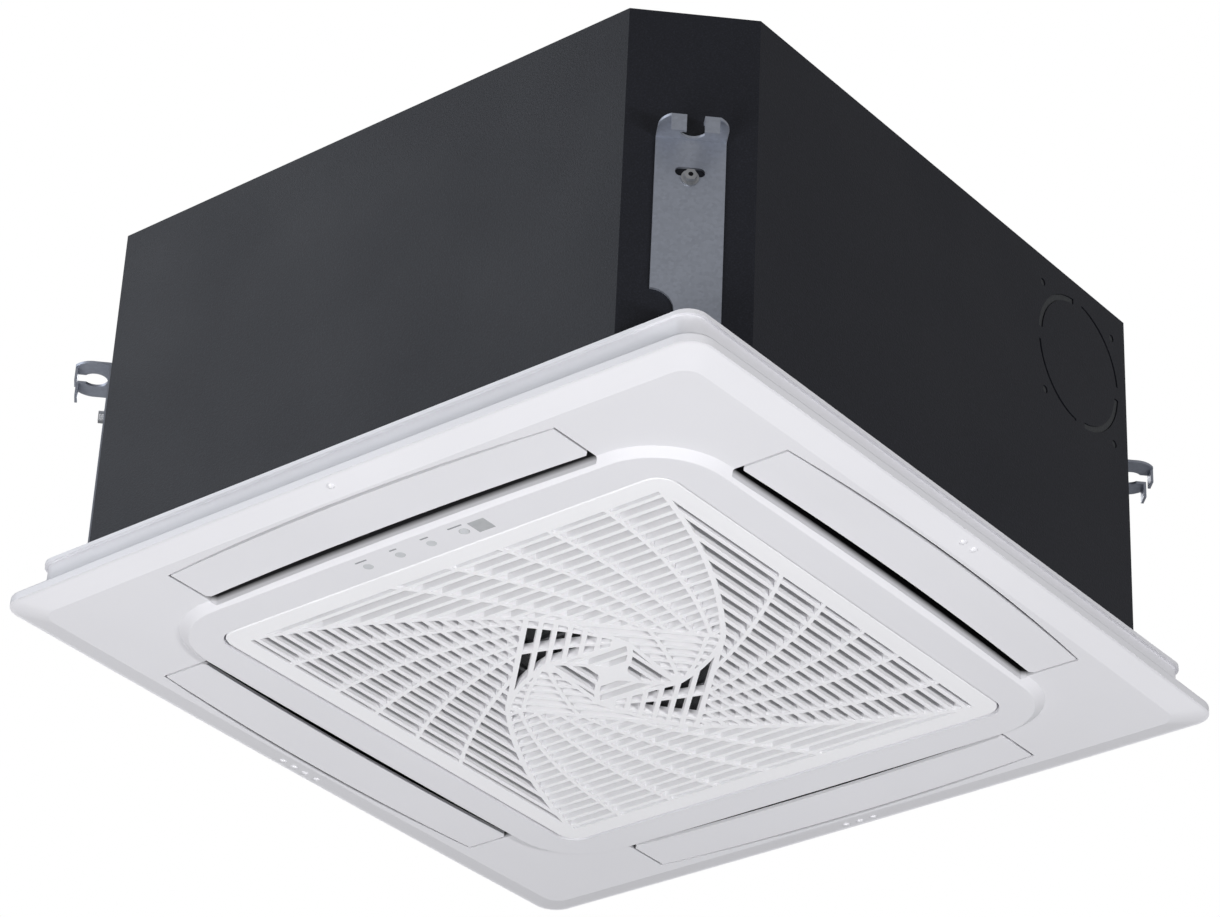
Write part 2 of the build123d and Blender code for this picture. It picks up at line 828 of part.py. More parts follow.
outer_gaps = sector_openings(
    outer_corner,
    outer_arm_middle,
    middle_corner,
    0,
    outer_rows,
    straight_row_start - outer_rows * slat_pitch,
    outer_cross_ribs,
)
middle_gaps = sector_openings(
    quarter_turn(middle_corner, -1),
    quarter_turn(middle_arm_middle, -1),
    quarter_turn(inner_corner, -1),
    -45,
    middle_rows,
    turned_row_start - middle_rows * slat_pitch,
    middle_cross_ribs,
)
inner_gaps = sector_openings(
    quarter_turn(inner_corner, -1),
    quarter_turn(inner_arm_middle, -1),
    quarter_turn(core_corner, -1),
    0,
    inner_rows,
    straight_row_start - inner_rows * slat_pitch,
    (),
)

with BuildPart() as intake_grille:
    with BuildSketch(Plane.XY.offset(grille_setback)):
        add(rounded_square(grille_half, grille_corner))
    extrude(amount=grille_plate)
    # The edge is cut back so that the rear edge clears the fascia as the grille swings.
    chamfer(intake_grille.faces().sort_by(Axis.Z)[0].edges(), grille_edge)
    with BuildSketch(Plane.XY.offset(grille_setback)):
        Rectangle(2 * pattern_half, 2 * pattern_half)
    extrude(amount=lattice_depth)
    with BuildSketch(Plane.XY.offset(grille_back)):
        add(rounded_square(grille_half, grille_corner))
        add(
            rounded_square(grille_half - grille_rim_wall, grille_corner - grille_rim_wall),
            mode=Mode.SUBTRACT,
        )
    extrude(amount=grille_rim_height)
    # Notches in the rim and the lattice edge, round the two hinges and the two latches.
    notch_middle = grille_half + cut_margin - corner_notch_depth / 2
    with BuildSketch(Plane.XY.offset(grille_back)):
        with GridLocations(2 * hinge_spread, 2 * notch_middle, 2, 2):
            Rectangle(corner_notch_width, corner_notch_depth)
    extrude(amount=grille_rim_height + cut_margin, mode=Mode.SUBTRACT)
    # Knuckles round the hinge pins on side 3.
    for hinge in (-hinge_spread, hinge_spread):
        with BuildSketch(Plane.YZ.offset(hinge - knuckle_width / 2)):
            with Locations((hinge_axis_reach, hinge_axis_level)):
                Circle(knuckle_radius)
            knuckle_foot = hinge_axis_level - grille_back + grille_plate / 2
            with Locations((hinge_axis_reach, hinge_axis_level - knuckle_foot / 2)):
                Rectangle(2 * knuckle_radius, knuckle_foot)
            with Locations((hinge_axis_reach, hinge_axis_level)):
                Circle(hinge_pin_radius + running_fit, mode=Mode.SUBTRACT)
        extrude(amount=knuckle_width)
    # Lipped rails that guide the latches on side 1.
    rail_reach = latch_width / 2 + seat_gap
    rail_height = latch_thickness + 2 * seat_gap + latch_rail_lip
    latch_middle = grille_half - grille_rim_wall - latch_length / 2
    for latch in (-hinge_spread, hinge_spread):
        for side in (-1, 1):
            rail_inner = latch + side * (rail_reach - latch_rail_lip)
            rail_outer = latch + side * (rail_reach + latch_rail)
            wall_inner = latch + side * rail_reach
            with BuildSketch(Plane.XZ.offset(latch_middle - latch_length / 4)):
                with BuildLine():
                    Polyline(
                        (wall_inner, grille_back - grille_plate / 2),
                        (rail_outer, grille_back - grille_plate / 2),
                        (rail_outer, grille_back + rail_height),
                        (rail_inner, grille_back + rail_height),
                        (rail_inner, grille_back + rail_height - latch_rail_lip),
                        (wall_inner, grille_back + rail_height - latch_rail_lip),
                        close=True,
                    )
                make_face()
            extrude(amount=latch_length / 2)
    # Snap clips that hold the filter against the back of the lattice.
    for turn in side_turns:
        for place in clip_positions:
            with BuildSketch(section_plane(turn, place + clip_width / 2)):
                with BuildLine():
                    clip_foot = filter_half + filter_side_gap
                    clip_top = lattice_back + filter_frame_height + seat_gap
                    Polyline(
                        (clip_foot, grille_setback + grille_plate / 2),
                        (clip_foot + clip_thickness, grille_setback + grille_plate / 2),
                        (clip_foot + clip_thickness, clip_top + clip_nose),
                        (clip_foot, clip_top + clip_nose),
                        (clip_foot - clip_nose, clip_top),
                        (clip_foot, clip_top),
                        close=True,
                    )
                make_face()
            extrude(amount=clip_width)
    # The gaps themselves, cut right through the lattice.
    with BuildSketch(Plane.XY.offset(grille_setback)):
        with PolarLocations(0, len(side_turns)):
            add(outer_gaps)
            add(middle_gaps)
            add(inner_gaps)
    extrude(amount=lattice_depth, mode=Mode.SUBTRACT)
intake_grille.part.label = "intake_grille"
export_step(intake_grille.part, "parts/intake_grille.step")

with BuildPart() as hinge_pins:
    pin_length = knuckle_width + 2 * (moving_gap + hinge_lug_width)
    for hinge in (-hinge_spread, hinge_spread):
        with BuildSketch(Plane.YZ.offset(hinge - pin_length / 2)):
            with Locations((hinge_axis_reach, hinge_axis_level)):
                Circle(hinge_pin_radius)
        extrude(amount=pin_length)
hinge_pins.part.label = "hinge_pins"
export_step(hinge_pins.part, "parts/hinge_pins.step")

for number, latch in enumerate((-hinge_spread, hinge_spread), start=1):
    with BuildPart() as grille_latch:
        with BuildSketch(Plane.XY.offset(grille_back + seat_gap)):
            with Locations((latch, -latch_middle)):
                Rectangle(latch_width, latch_length)
            nose_root = latch_middle + latch_length / 2
            nose_tip = intake_half + latch_nose_reach
            with Locations((latch, -(nose_root + nose_tip) / 2)):
                Rectangle(latch_nose_width, nose_tip - nose_root)
        extrude(amount=latch_thickness)
        tip_edge = grille_latch.faces().sort_by(Axis.Y)[0].edges().sort_by(Axis.Z)[-1]
        chamfer(tip_edge, latch_thickness / 2)
    grille_latch.part.label = f"grille_latch_{number}"
    export_step(grille_latch.part, f"parts/grille_latch_{number}.step")

# ================================================================ air filter
filter_inner = filter_half - filter_frame_width
filter_bay = (2 * filter_inner - (filter_bays - 1) * filter_rib) / filter_bays
with BuildPart() as filter_frame:
    with BuildSketch(Plane.XY.offset(lattice_back)):
        add(rounded_square(filter_half, filter_corner))
        with GridLocations(
            filter_bay + filter_rib, filter_bay + filter_rib, filter_bays, filter_bays
        ):
            Rectangle(filter_bay, filter_bay, mode=Mode.SUBTRACT)
    extrude(amount=filter_frame_height)
    mesh_level = lattice_back + filter_frame_height - filter_mesh_thickness
    with BuildSketch(Plane.XY.offset(mesh_level)):
        Rectangle(2 * filter_inner, 2 * filter_inner)
    extrude(amount=filter_mesh_thickness, mode=Mode.SUBTRACT)
filter_frame.part.label = "filter_frame"
export_step(filter_frame.part, "parts/filter_frame.step")

with BuildPart() as filter_mesh:
    with BuildSketch(Plane.XY.offset(mesh_level)):
        Rectangle(2 * filter_inner, 2 * filter_inner)
    extrude(amount=filter_mesh_thickness)
filter_mesh.part.label = "filter_mesh"
export_step(filter_mesh.part, "parts/filter_mesh.step")

# ================================================================ casing
with BuildSketch() as knockout_outline:
    Circle(knockout_radius + knockout_slit / 2)
    Circle(knockout_radius - knockout_slit / 2, mode=Mode.SUBTRACT)
    with BuildSketch(mode=Mode.PRIVATE) as knockout_bands:
        Circle(knockout_radius + knockout_slit / 2)
        Circle(knockout_radius + knockout_slit / 2 - knockout_band, mode=Mode.SUBTRACT)
        with Locations((knockout_radius, knockout_radius), (-knockout_radius, -knockout_radius)):
            Rectangle(2 * knockout_radius, 2 * knockout_radius, mode=Mode.SUBTRACT)
    add(knockout_bands.sketch)
    Rectangle(3 * knockout_radius, knockout_bridge, mode=Mode.SUBTRACT)
    Rectangle(knockout_bridge, 3 * knockout_radius, mode=Mode.SUBTRACT)

with BuildPart() as casing_shell:
    with BuildSketch(Plane.XY.offset(casing_bottom)):
        add(casing_outline(0))
    extrude(amount=casing_height)
    with BuildSketch(Plane.XY.offset(casing_bottom)):
        add(casing_outline(sheet))
    extrude(amount=casing_height - sheet, mode=Mode.SUBTRACT)
    with BuildSketch(right_wall):
        with Locations((knockout_reach, knockout_level)):
            add(knockout_outline.sketch)
            with GridLocations(pilot_spread, pilot_spread, 2, 2):
                Circle(pilot_radius)
    extrude(amount=-2 * sheet, mode=Mode.SUBTRACT)
    with BuildSketch(left_wall):
        with Locations((-pipe_lane, pipe_plate_level)):
            Rectangle(pipe_door_width, pipe_door_height)
    extrude(amount=-2 * sheet, mode=Mode.SUBTRACT)
    with BuildSketch(rear_wall):
        with Locations((-spout_place, socket_level)):
            Circle(socket_spigot_radius + slip_fit)
        with Locations((-grommet_place, grommet_level)):
            Circle(grommet_radius + slip_fit)
    extrude(amount=-2 * sheet, mode=Mode.SUBTRACT)
    for turn, leg in zip(corner_turns, corner_legs):
        with BuildSketch(corner_plane(turn, leg)):
            with Locations((0, hanger_screw_level)):
                Circle(screw_shank_radius + slip_fit)
        extrude(amount=-2 * sheet, mode=Mode.SUBTRACT)
casing_shell.part.label = "casing_shell"
export_step(casing_shell.part, "parts/casing_shell.step")

with BuildPart() as foam_liner:
    with BuildSketch(Plane.XY.offset(pan_top)):
        add(casing_outline(sheet))
    extrude(amount=casing_top - sheet - pan_top)
    with BuildSketch(Plane.XY.offset(pan_top)):
        add(casing_outline(sheet + liner_wall))
    extrude(amount=liner_under - pan_top, mode=Mode.SUBTRACT)
    with BuildSketch(left_wall.offset(-sheet)):
        with Locations((-pipe_lane, pipe_plate_level)):
            Rectangle(pipe_door_width, pipe_door_height)
    extrude(amount=-2 * liner_wall, mode=Mode.SUBTRACT)
    with BuildSketch(rear_wall.offset(-sheet)):
        with Locations((-spout_place, socket_level)):
            Circle(socket_flange_radius + moving_gap)
        with Locations((-grommet_place, grommet_level)):
            Circle(grommet_flange_radius + moving_gap)
    extrude(amount=-2 * liner_wall, mode=Mode.SUBTRACT)
    # Room round each hanger screw's tip.
    for turn, leg in zip(corner_turns, corner_legs):
        with BuildSketch(corner_plane(turn, leg).offset(-sheet)):
            with Locations((0, hanger_screw_level)):
                Circle(2 * screw_shank_radius)
        extrude(amount=-2 * liner_wall, mode=Mode.SUBTRACT)
    # Holes for the motor's bolts.
    with BuildSketch(Plane.XY.offset(liner_under - cut_margin)):
        with PolarLocations(motor_ear_reach, motor_feet, start_angle=90):
            Circle(bolt_post_radius + slip_fit)
    extrude(amount=2 * liner_top, mode=Mode.SUBTRACT)
foam_liner.part.label = "foam_liner"
export_step(foam_liner.part, "parts/foam_liner.step")

with BuildPart() as wiring_grommet:
    grommet_seat = rear_wall.offset(-sheet - grommet_flange)
    with BuildSketch(grommet_seat):
        with Locations((-grommet_place, grommet_level)):
            Circle(grommet_flange_radius)
    extrude(amount=grommet_flange)
    with BuildSketch(grommet_seat):
        with Locations((-grommet_place, grommet_level)):
            Circle(grommet_radius)
    extrude(amount=sheet + 2 * grommet_flange)
    with BuildSketch(grommet_seat):
        with Locations((-grommet_place, grommet_level)):
            Circle(grommet_bore)
    extrude(amount=sheet + 3 * grommet_flange, mode=Mode.SUBTRACT)
wiring_grommet.part.label = "wiring_grommet"
export_step(wiring_grommet.part, "parts/wiring_grommet.step")

# ================================================================ hanger brackets
for number, (turn, leg) in enumerate(zip(corner_turns, corner_legs), start=1):
    face = corner_plane(turn, leg)
    with BuildPart() as hanger_bracket:
        # Upright strap on the chamfered corner.
        with BuildSketch(face):
            strap_height = hanger_tab_level - hanger_foot_level
            with Locations((0, hanger_foot_level + strap_height / 2)):
                Rectangle(hanger_width, strap_height)
            with Locations((-hanger_width / 2, hanger_notch_level)):
                Circle(hanger_notch_radius, mode=Mode.SUBTRACT)
            with Locations((0, hanger_screw_level)):
                Circle(screw_shank_radius + slip_fit, mode=Mode.SUBTRACT)
            with Locations((0, hanger_screw_level + hanger_window_rise)):
                SlotOverall(hanger_window_width, hanger_window_height, mode=Mode.SUBTRACT)
        extrude(amount=hanger_sheet)
        # Level tab with rounded shoulders and a keyhole open to its end.
        tab_plane = Plane(
            origin=face.from_local_coords(Vector(0, hanger_tab_level - hanger_sheet, 0)),
            x_dir=face.x_dir,
            z_dir=(0, 0, 1),
        )
        with BuildSketch(tab_plane):
            with BuildLine():
                half_root = hanger_width / 2
                half_tip = hanger_tip_width / 2
                bulge = (half_root + half_tip) / 2 + hanger_bulge
                bulge_reach = (hanger_shoulder + hanger_reach + hanger_bulge) / 2
                Polyline(
                    (-half_root, -hanger_shoulder),
                    (-half_root, 0),
                    (half_root, 0),
                    (half_root, -hanger_shoulder),
                )
                ThreePointArc(
                    (half_root, -hanger_shoulder), (bulge, -bulge_reach), (half_tip, -hanger_reach)
                )
                Line((half_tip, -hanger_reach), (-half_tip, -hanger_reach))
                ThreePointArc(
                    (-half_tip, -hanger_reach), (-bulge, -bulge_reach), (-half_root, -hanger_shoulder)
                )
            make_face()
            with Locations((0, -keyhole_reach)):
                Circle(keyhole_radius, mode=Mode.SUBTRACT)
            with Locations((0, -(keyhole_reach + hanger_reach) / 2 - cut_margin)):
                neck_length = hanger_reach - keyhole_reach + 2 * cut_margin
                Rectangle(hanger_slot, neck_length, mode=Mode.SUBTRACT)
        extrude(amount=hanger_sheet)
        # Two lips bent down at the tab's end, either side of the slot.
        lip_middle = (hanger_slot + hanger_lip_width) / 2
        with BuildSketch(face.offset(hanger_reach - hanger_sheet)):
            lip_level = hanger_tab_level - (hanger_lip_height + hanger_sheet) / 2
            with Locations((-lip_middle, lip_level), (lip_middle, lip_level)):
                Rectangle(hanger_lip_width, hanger_lip_height + hanger_sheet)
        extrude(amount=hanger_sheet)
        # The outside of the bend is rounded.
        bend_edges = hanger_bracket.edges().filter_by(Axis(face.origin, face.x_dir)).group_by(Axis.Z)[-1]
        bend_edge = bend_edges.sort_by(Axis(face.origin, face.z_dir))[0]
        fillet(bend_edge, hanger_sheet / 2)
    hanger_bracket.part.label = f"hanger_bracket_{number}"
    export_step(hanger_bracket.part, f"parts/hanger_bracket_{number}.step")

with BuildPart() as hanger_screws:
    for turn, leg in zip(corner_turns, corner_legs):
        seat = corner_plane(turn, leg).offset(hanger_sheet)
        with BuildSketch(seat):
            with Locations((0, hanger_screw_level)):
                Circle(screw_flange_radius)
        extrude(amount=screw_flange)
        with BuildSketch(seat.offset(screw_flange)):
            with Locations((0, hanger_screw_level)):
                RegularPolygon(screw_head_radius, 6)
        extrude(amount=screw_head)
        with BuildSketch(seat):
            with Locations((0, hanger_screw_level)):
                Circle(screw_shank_radius)
        extrude(amount=-screw_length)
hanger_screws.part.label = "hanger_screws"
export_step(hanger_screws.part, "parts/hanger_screws.step")

# ================================================================ drain pan
with BuildPart() as drain_pan:
    with BuildSketch(Plane.XY.offset(casing_bottom)):
        add(casing_outline(sheet + pan_side_gap))
    extrude(amount=pan_height)
    # Intake opening with cut corners, which leave room for the fascia's screws.
    with BuildSketch(Plane.XY.offset(casing_bottom)) as pan_opening:
        Rectangle(2 * pan_opening_half, 2 * pan_opening_half)
        chamfer(pan_opening.vertices(), pan_opening_cut)
    extrude(amount=pan_height, mode=Mode.SUBTRACT)
    # Water trough under the coil, and the low rim that carries the bell mouth.
    with BuildSketch(Plane.XY.offset(trough_level)) as trough:
        add(rounded_square(trough_outer, trough_corner))
        with BuildSketch(mode=Mode.PRIVATE) as trough_island:
            Rectangle(2 * trough_inner, 2 * trough_inner)
            chamfer(trough_island.vertices(), pan_opening_cut)
        add(trough_island.sketch, mode=Mode.SUBTRACT)
    extrude(amount=pan_top - trough_level, mode=Mode.SUBTRACT)
    with BuildSketch(Plane.XY.offset(inner_rim_level)):
        Rectangle(2 * trough_inner + cut_margin, 2 * trough_inner + cut_margin)
    extrude(amount=pan_top - inner_rim_level, mode=Mode.SUBTRACT)
    # Rests that hold the coil clear of the trough's floor.
    rest_places = (-coil_rest_spread, coil_rest_spread)
    with BuildSketch(Plane.XY.offset(trough_level - cut_margin)):
        with Locations(
            *[quarter_turn((place, -coil_reach), turn) for turn in range(3) for place in rest_places]
        ):
            Rectangle(coil_rest_width, coil_rest_width)
    extrude(amount=coil_bottom - trough_level + cut_margin)
    # Sump under the pump, and the hole of its drain plug.
    with BuildSketch(Plane.XY.offset(sump_level)):
        with Locations((-sump_reach, sump_reach)):
            Circle(sump_radius)
    extrude(amount=pan_height, mode=Mode.SUBTRACT)
    with BuildSketch(Plane.XY.offset(casing_bottom)):
        with Locations((-sump_reach + plug_offset, sump_reach)):
            Circle(plug_radius + slip_fit)
    extrude(amount=sump_level - casing_bottom + cut_margin, mode=Mode.SUBTRACT)
    # Air ways to the four outlets.
    for turn in side_turns:
        with BuildSketch(side_plane(turn, casing_bottom)):
            with Locations((0, -(pan_duct_inner + pan_duct_outer) / 2)):
                RectangleRounded(
                    2 * pan_duct_half, pan_duct_outer - pan_duct_inner, pan_duct_corner
                )
        extrude(amount=pan_height, mode=Mode.SUBTRACT)
    # Blind holes for the fascia's screws.
    with BuildSketch(Plane.XY.offset(casing_bottom)):
        with GridLocations(2 * panel_screw_reach, 2 * panel_screw_reach, 2, 2):
            Circle(panel_screw_radius + slip_fit)
    extrude(amount=panel_screw_depth + cut_margin, mode=Mode.SUBTRACT)
drain_pan.part.label = "drain_pan"
export_step(drain_pan.part, "parts/drain_pan.step")

with BuildPart() as drain_plug:
    with BuildSketch(Plane.XY.offset(casing_bottom - plug_flange)):
        with Locations((-sump_reach + plug_offset, sump_reach)):
            Circle(plug_flange_radius)
    extrude(amount=plug_flange)
    with BuildSketch(Plane.XY.offset(casing_bottom)):
        with Locations((-sump_reach + plug_offset, sump_reach)):
            Circle(plug_radius)
    extrude(amount=sump_level - casing_bottom)
drain_plug.part.label = "drain_plug"
export_step(drain_plug.part, "parts/drain_plug.step")

# ================================================================ drain pump and float switch
with BuildPart() as drain_pump:
    pump_axis = Plane(origin=(-sump_reach, sump_reach, 0), x_dir=(1, 0, 0), z_dir=(0, -1, 0))
    with BuildSketch(pump_axis):
        with BuildLine():
            Polyline(
                (0, pump_volute_bottom),
                (pump_volute_radius, pump_volute_bottom),
                (pump_volute_radius, pump_volute_top),
                (pump_neck_radius, pump_volute_top),
                (pump_neck_radius, pan_top),
                (pump_flange_radius, pan_top),
                (pump_flange_radius, pan_top + pump_flange),
                (pump_motor_radius, pan_top + pump_flange),
                (pump_motor_radius, pump_motor_top),
                (0, pump_motor_top),
                close=True,
            )
        make_face()
    revolve(axis=Axis((-sump_reach, sump_reach, 0), (0, 0, 1)))
    # Outlet spout on the flange.
    with BuildSketch(Plane.XY.offset(pan_top)):
        with Locations((spout_place, sump_reach)):
            Circle(spout_radius)
    extrude(amount=spout_height)
    with BuildSketch(Plane.XY.offset(pan_top)):
        with Locations((spout_place, sump_reach)):
            Circle(spout_bore)
        with Locations((-sump_reach - switch_offset, sump_reach - switch_offset)):
            Circle(stem_radius + slip_fit)
    extrude(amount=spout_height, mode=Mode.SUBTRACT)
drain_pump.part.label = "drain_pump"
export_step(drain_pump.part, "parts/drain_pump.step")

switch_place = (-sump_reach - switch_offset, sump_reach - switch_offset)
with BuildPart() as float_switch:
    with BuildSketch(Plane.XY.offset(stem_bottom)):
        with Locations(switch_place):
            Circle(stem_foot_radius)
    extrude(amount=stem_foot)
    with BuildSketch(Plane.XY.offset(stem_bottom)):
        with Locations(switch_place):
            Circle(stem_radius)
    extrude(amount=pan_top + pump_flange - stem_bottom)
    with BuildSketch(Plane.XY.offset(pan_top + pump_flange)):
        with Locations(switch_place):
            Circle(stem_head_radius)
    extrude(amount=stem_head)
float_switch.part.label = "float_switch"
export_step(float_switch.part, "parts/float_switch.step")

with BuildPart() as float_ring:
    with BuildSketch(Plane.XY.offset(stem_bottom + stem_foot + seat_gap)):
        with Locations(switch_place):
            Circle(float_radius)
            Circle(stem_radius + seat_gap, mode=Mode.SUBTRACT)
    extrude(amount=float_height)
float_ring.part.label = "float"
export_step(float_ring.part, "parts/float.step")

with BuildPart() as drain_hose:
    with BuildLine() as hose_path:
        hose_start = (spout_place, sump_reach, pan_top + pump_flange + moving_gap)
        hose_knee = (spout_place, sump_reach, socket_level)
        FilletPolyline(hose_start, hose_knee, (spout_place, hose_end, socket_level), radius=hose_bend)
    with BuildSketch(Plane(origin=hose_start, z_dir=(0, 0, 1))):
        Circle(hose_radius)
        Circle(hose_bore, mode=Mode.SUBTRACT)
    sweep(path=hose_path.line)
drain_hose.part.label = "drain_hose"
export_step(drain_hose.part, "parts/drain_hose.step")

with BuildPart() as drain_socket:
    socket_seat = rear_wall.offset(-sheet - socket_flange)
    with BuildSketch(socket_seat):
        with Locations((-spout_place, socket_level)):
            Circle(socket_flange_radius)
    extrude(amount=socket_flange)
    # The spigot fills the hole in the casing, and the barrel for the hose stands free of it.
    with BuildSketch(socket_seat):
        with Locations((-spout_place, socket_level)):
            Circle(socket_spigot_radius)
    extrude(amount=sheet + socket_flange + socket_spigot)
    with BuildSketch(socket_seat):
        with Locations((-spout_place, socket_level)):
            Circle(socket_outer_radius)
    extrude(amount=sheet + socket_flange + socket_length)
    with BuildSketch(Plane.XZ.offset(-socket_root)):
        with Locations((spout_place, socket_level)):
            Circle(hose_bore - slip_fit)
    extrude(amount=socket_root + socket_flange + sheet - casing_side / 2)
    with BuildSketch(Plane.XZ.offset(-socket_root + cut_margin)):
        with Locations((spout_place, socket_level)):
            Circle(socket_bore)
    extrude(amount=-casing_side, mode=Mode.SUBTRACT)
drain_socket.part.label = "drain_socket"
export_step(drain_socket.part, "parts/drain_socket.step")

# ================================================================ heat exchanger
with BuildPart() as coil_fins:
    with BuildSketch(Plane.XY.offset(coil_bottom)):
        with BuildLine():
            FilletPolyline(
                (-coil_reach, coil_left_end),
                (-coil_reach, -coil_reach),
                (coil_reach, -coil_reach),
                (coil_reach, coil_reach),
                (coil_rear_end, coil_reach),
                radius=coil_bend,
            )
        trace(line_width=coil_thickness)
    extrude(amount=coil_height)
coil_fins.part.label = "coil_fins"
export_step(coil_fins.part, "parts/coil_fins.step")

plate_half = coil_thickness / 2 + end_plate_margin
with BuildPart() as coil_end_plates:
    with BuildSketch(Plane.XY.offset(coil_bottom)):
        with Locations((-coil_reach, coil_left_end + end_plate / 2)):
            Rectangle(2 * plate_half, end_plate)
        with Locations((coil_rear_end - end_plate / 2, coil_reach)):
            Rectangle(end_plate, 2 * plate_half)
    extrude(amount=coil_height + end_plate_margin)
coil_end_plates.part.label = "coil_end_plates"
export_step(coil_end_plates.part, "parts/coil_end_plates.step")

with BuildPart() as coil_return_bends:
    for turn in range(return_count):
        bend_level = return_first_level + turn * return_pitch
        left_face = coil_left_end + end_plate
        with BuildSketch(Plane.XZ.offset(-left_face)):
            with Locations((-coil_reach + tube_rows / 2 - tube_rows, bend_level - return_bend_radius)):
                Circle(tube_radius)
        revolve(
            axis=Axis((-coil_reach - tube_rows / 2, left_face, bend_level), (1, 0, 0)),
            revolution_arc=180,
        )
        rear_face = coil_rear_end - end_plate
        with BuildSketch(Plane.YZ.offset(rear_face)):
            with Locations((coil_reach + tube_rows / 2, bend_level - return_bend_radius)):
                Circle(tube_radius)
        revolve(
            axis=Axis((rear_face, coil_reach + tube_rows / 2, bend_level), (0, 1, 0)),
            revolution_arc=180,
        )
coil_return_bends.part.label = "coil_return_bends"
export_step(coil_return_bends.part, "parts/coil_return_bends.step")


def coil_pipe(radius, level, bend):
    """Copper pipe from the coil's left end plate, round one bend and out through the left wall."""
    start = (-pipe_start_reach, coil_left_end + end_plate, level)
    with BuildPart() as pipe:
        with BuildLine() as route:
            FilletPolyline(
                start,
                (-pipe_start_reach, pipe_lane, level),
                (-pipe_end, pipe_lane, level),
                radius=bend,
            )
        with BuildSketch(Plane(origin=start, z_dir=(0, 1, 0))):
            Circle(radius)
        sweep(path=route.line)
        # Bead against the outer face of the flare nut.
        with BuildSketch(left_wall.offset(sheet + nut_length)):
            with Locations((-pipe_lane, level)):
                Circle(radius + pipe_bead)
        extrude(amount=pipe_bead)
    return pipe.part


liquid_pipe = coil_pipe(liquid_radius, liquid_level, liquid_bend)
liquid_pipe.label = "liquid_pipe"
export_step(liquid_pipe, "parts/liquid_pipe.step")

gas_pipe = coil_pipe(gas_radius, gas_level, gas_bend)
gas_pipe.label = "gas_pipe"
export_step(gas_pipe, "parts/gas_pipe.step")

with BuildPart() as pipe_plate:
    with BuildSketch(left_wall):
        with Locations((-pipe_lane, pipe_plate_level)):
            Rectangle(
                pipe_door_width + 2 * pipe_plate_margin, pipe_door_height + 2 * pipe_plate_margin
            )
        with Locations((-pipe_lane, liquid_level)):
            Circle(liquid_radius + pipe_hole_gap, mode=Mode.SUBTRACT)
        with Locations((-pipe_lane, gas_level)):
            Circle(gas_radius + pipe_hole_gap, mode=Mode.SUBTRACT)
    extrude(amount=sheet)
pipe_plate.part.label = "pipe_plate"
export_step(pipe_plate.part, "parts/pipe_plate.step")

with BuildPart() as flare_nuts:
    with BuildSketch(left_wall.offset(sheet)):
        with Locations((-pipe_lane, liquid_level)):
            RegularPolygon(liquid_nut_flats / 2, 6, major_radius=False)
            Circle(liquid_radius + slip_fit, mode=Mode.SUBTRACT)
        with Locations((-pipe_lane, gas_level)):
            RegularPolygon(gas_nut_flats / 2, 6, major_radius=False)
            Circle(gas_radius + slip_fit, mode=Mode.SUBTRACT)
    extrude(amount=nut_length)
flare_nuts.part.label = "flare_nuts"
export_step(flare_nuts.part, "parts/flare_nuts.step")

# ================================================================ bell mouth
bell_top = inner_rim_level + bell_plate
with BuildPart() as bell_mouth:
    with BuildSketch(Plane.XY.offset(inner_rim_level)) as bell_outline:
        Rectangle(2 * trough_inner, 2 * trough_inner)
        chamfer(bell_outline.vertices(), pan_opening_cut)
    extrude(amount=bell_plate)
    bell_flare_start = bell_throat + bell_flare_radius
    with BuildSketch(Plane.XY.offset(inner_rim_level)):
        Circle(bell_flare_start)
    extrude(amount=bell_plate, mode=Mode.SUBTRACT)
    # Flared throat: a quarter round from the plate up to the mouth.
    lip_outer = bell_flare_radius - bell_wall
    bell_centre = inner_rim_level + bell_flare_radius
    with BuildSketch(Plane.XZ):
        with BuildLine():
            RadiusArc((bell_flare_start, inner_rim_level), (bell_throat, bell_centre), bell_flare_radius)
            Line((bell_throat, bell_centre), (bell_throat + bell_wall, bell_centre))
            RadiusArc(
                (bell_throat + bell_wall, bell_centre),
                (bell_flare_start, inner_rim_level + bell_wall),
                -lip_outer,
            )
            Line((bell_flare_start, inner_rim_level + bell_wall), (bell_flare_start, inner_rim_level))
        make_face()
    revolve(axis=Axis.Z)
bell_mouth.part.label = "bell_mouth"
export_step(bell_mouth.part, "parts/bell_mouth.step")

# ================================================================ turbo fan
with BuildPart() as blade_envelope:
    # Space between the middle of the shroud and the middle of the hub plate.
    with BuildSketch(Plane.XZ):
        with BuildLine():
            lip_top = shroud_bottom + shroud_lip
            flare_x = (fan_radius - shroud_inlet) * shroud_bulge_out
            flare_z = (shroud_edge_level - lip_top) * shroud_bulge_up
            shroud_start = (shroud_inlet + shroud_wall / 2, lip_top)
            shroud_end = (fan_radius, shroud_edge_level + shroud_wall / 2)
            ThreePointArc(
                shroud_start,
                (
                    shroud_inlet + flare_x,
                    lip_top + flare_z,
                ),
                shroud_end,
            )
            Polyline(
                shroud_end,
                (fan_radius, hub_plate_level + hub_plate / 2),
                (blade_inner, hub_plate_level + hub_plate / 2),
                (shroud_inlet - blade_lead, lip_top),
                shroud_start,
            )
        make_face()
    revolve(axis=Axis.Z)

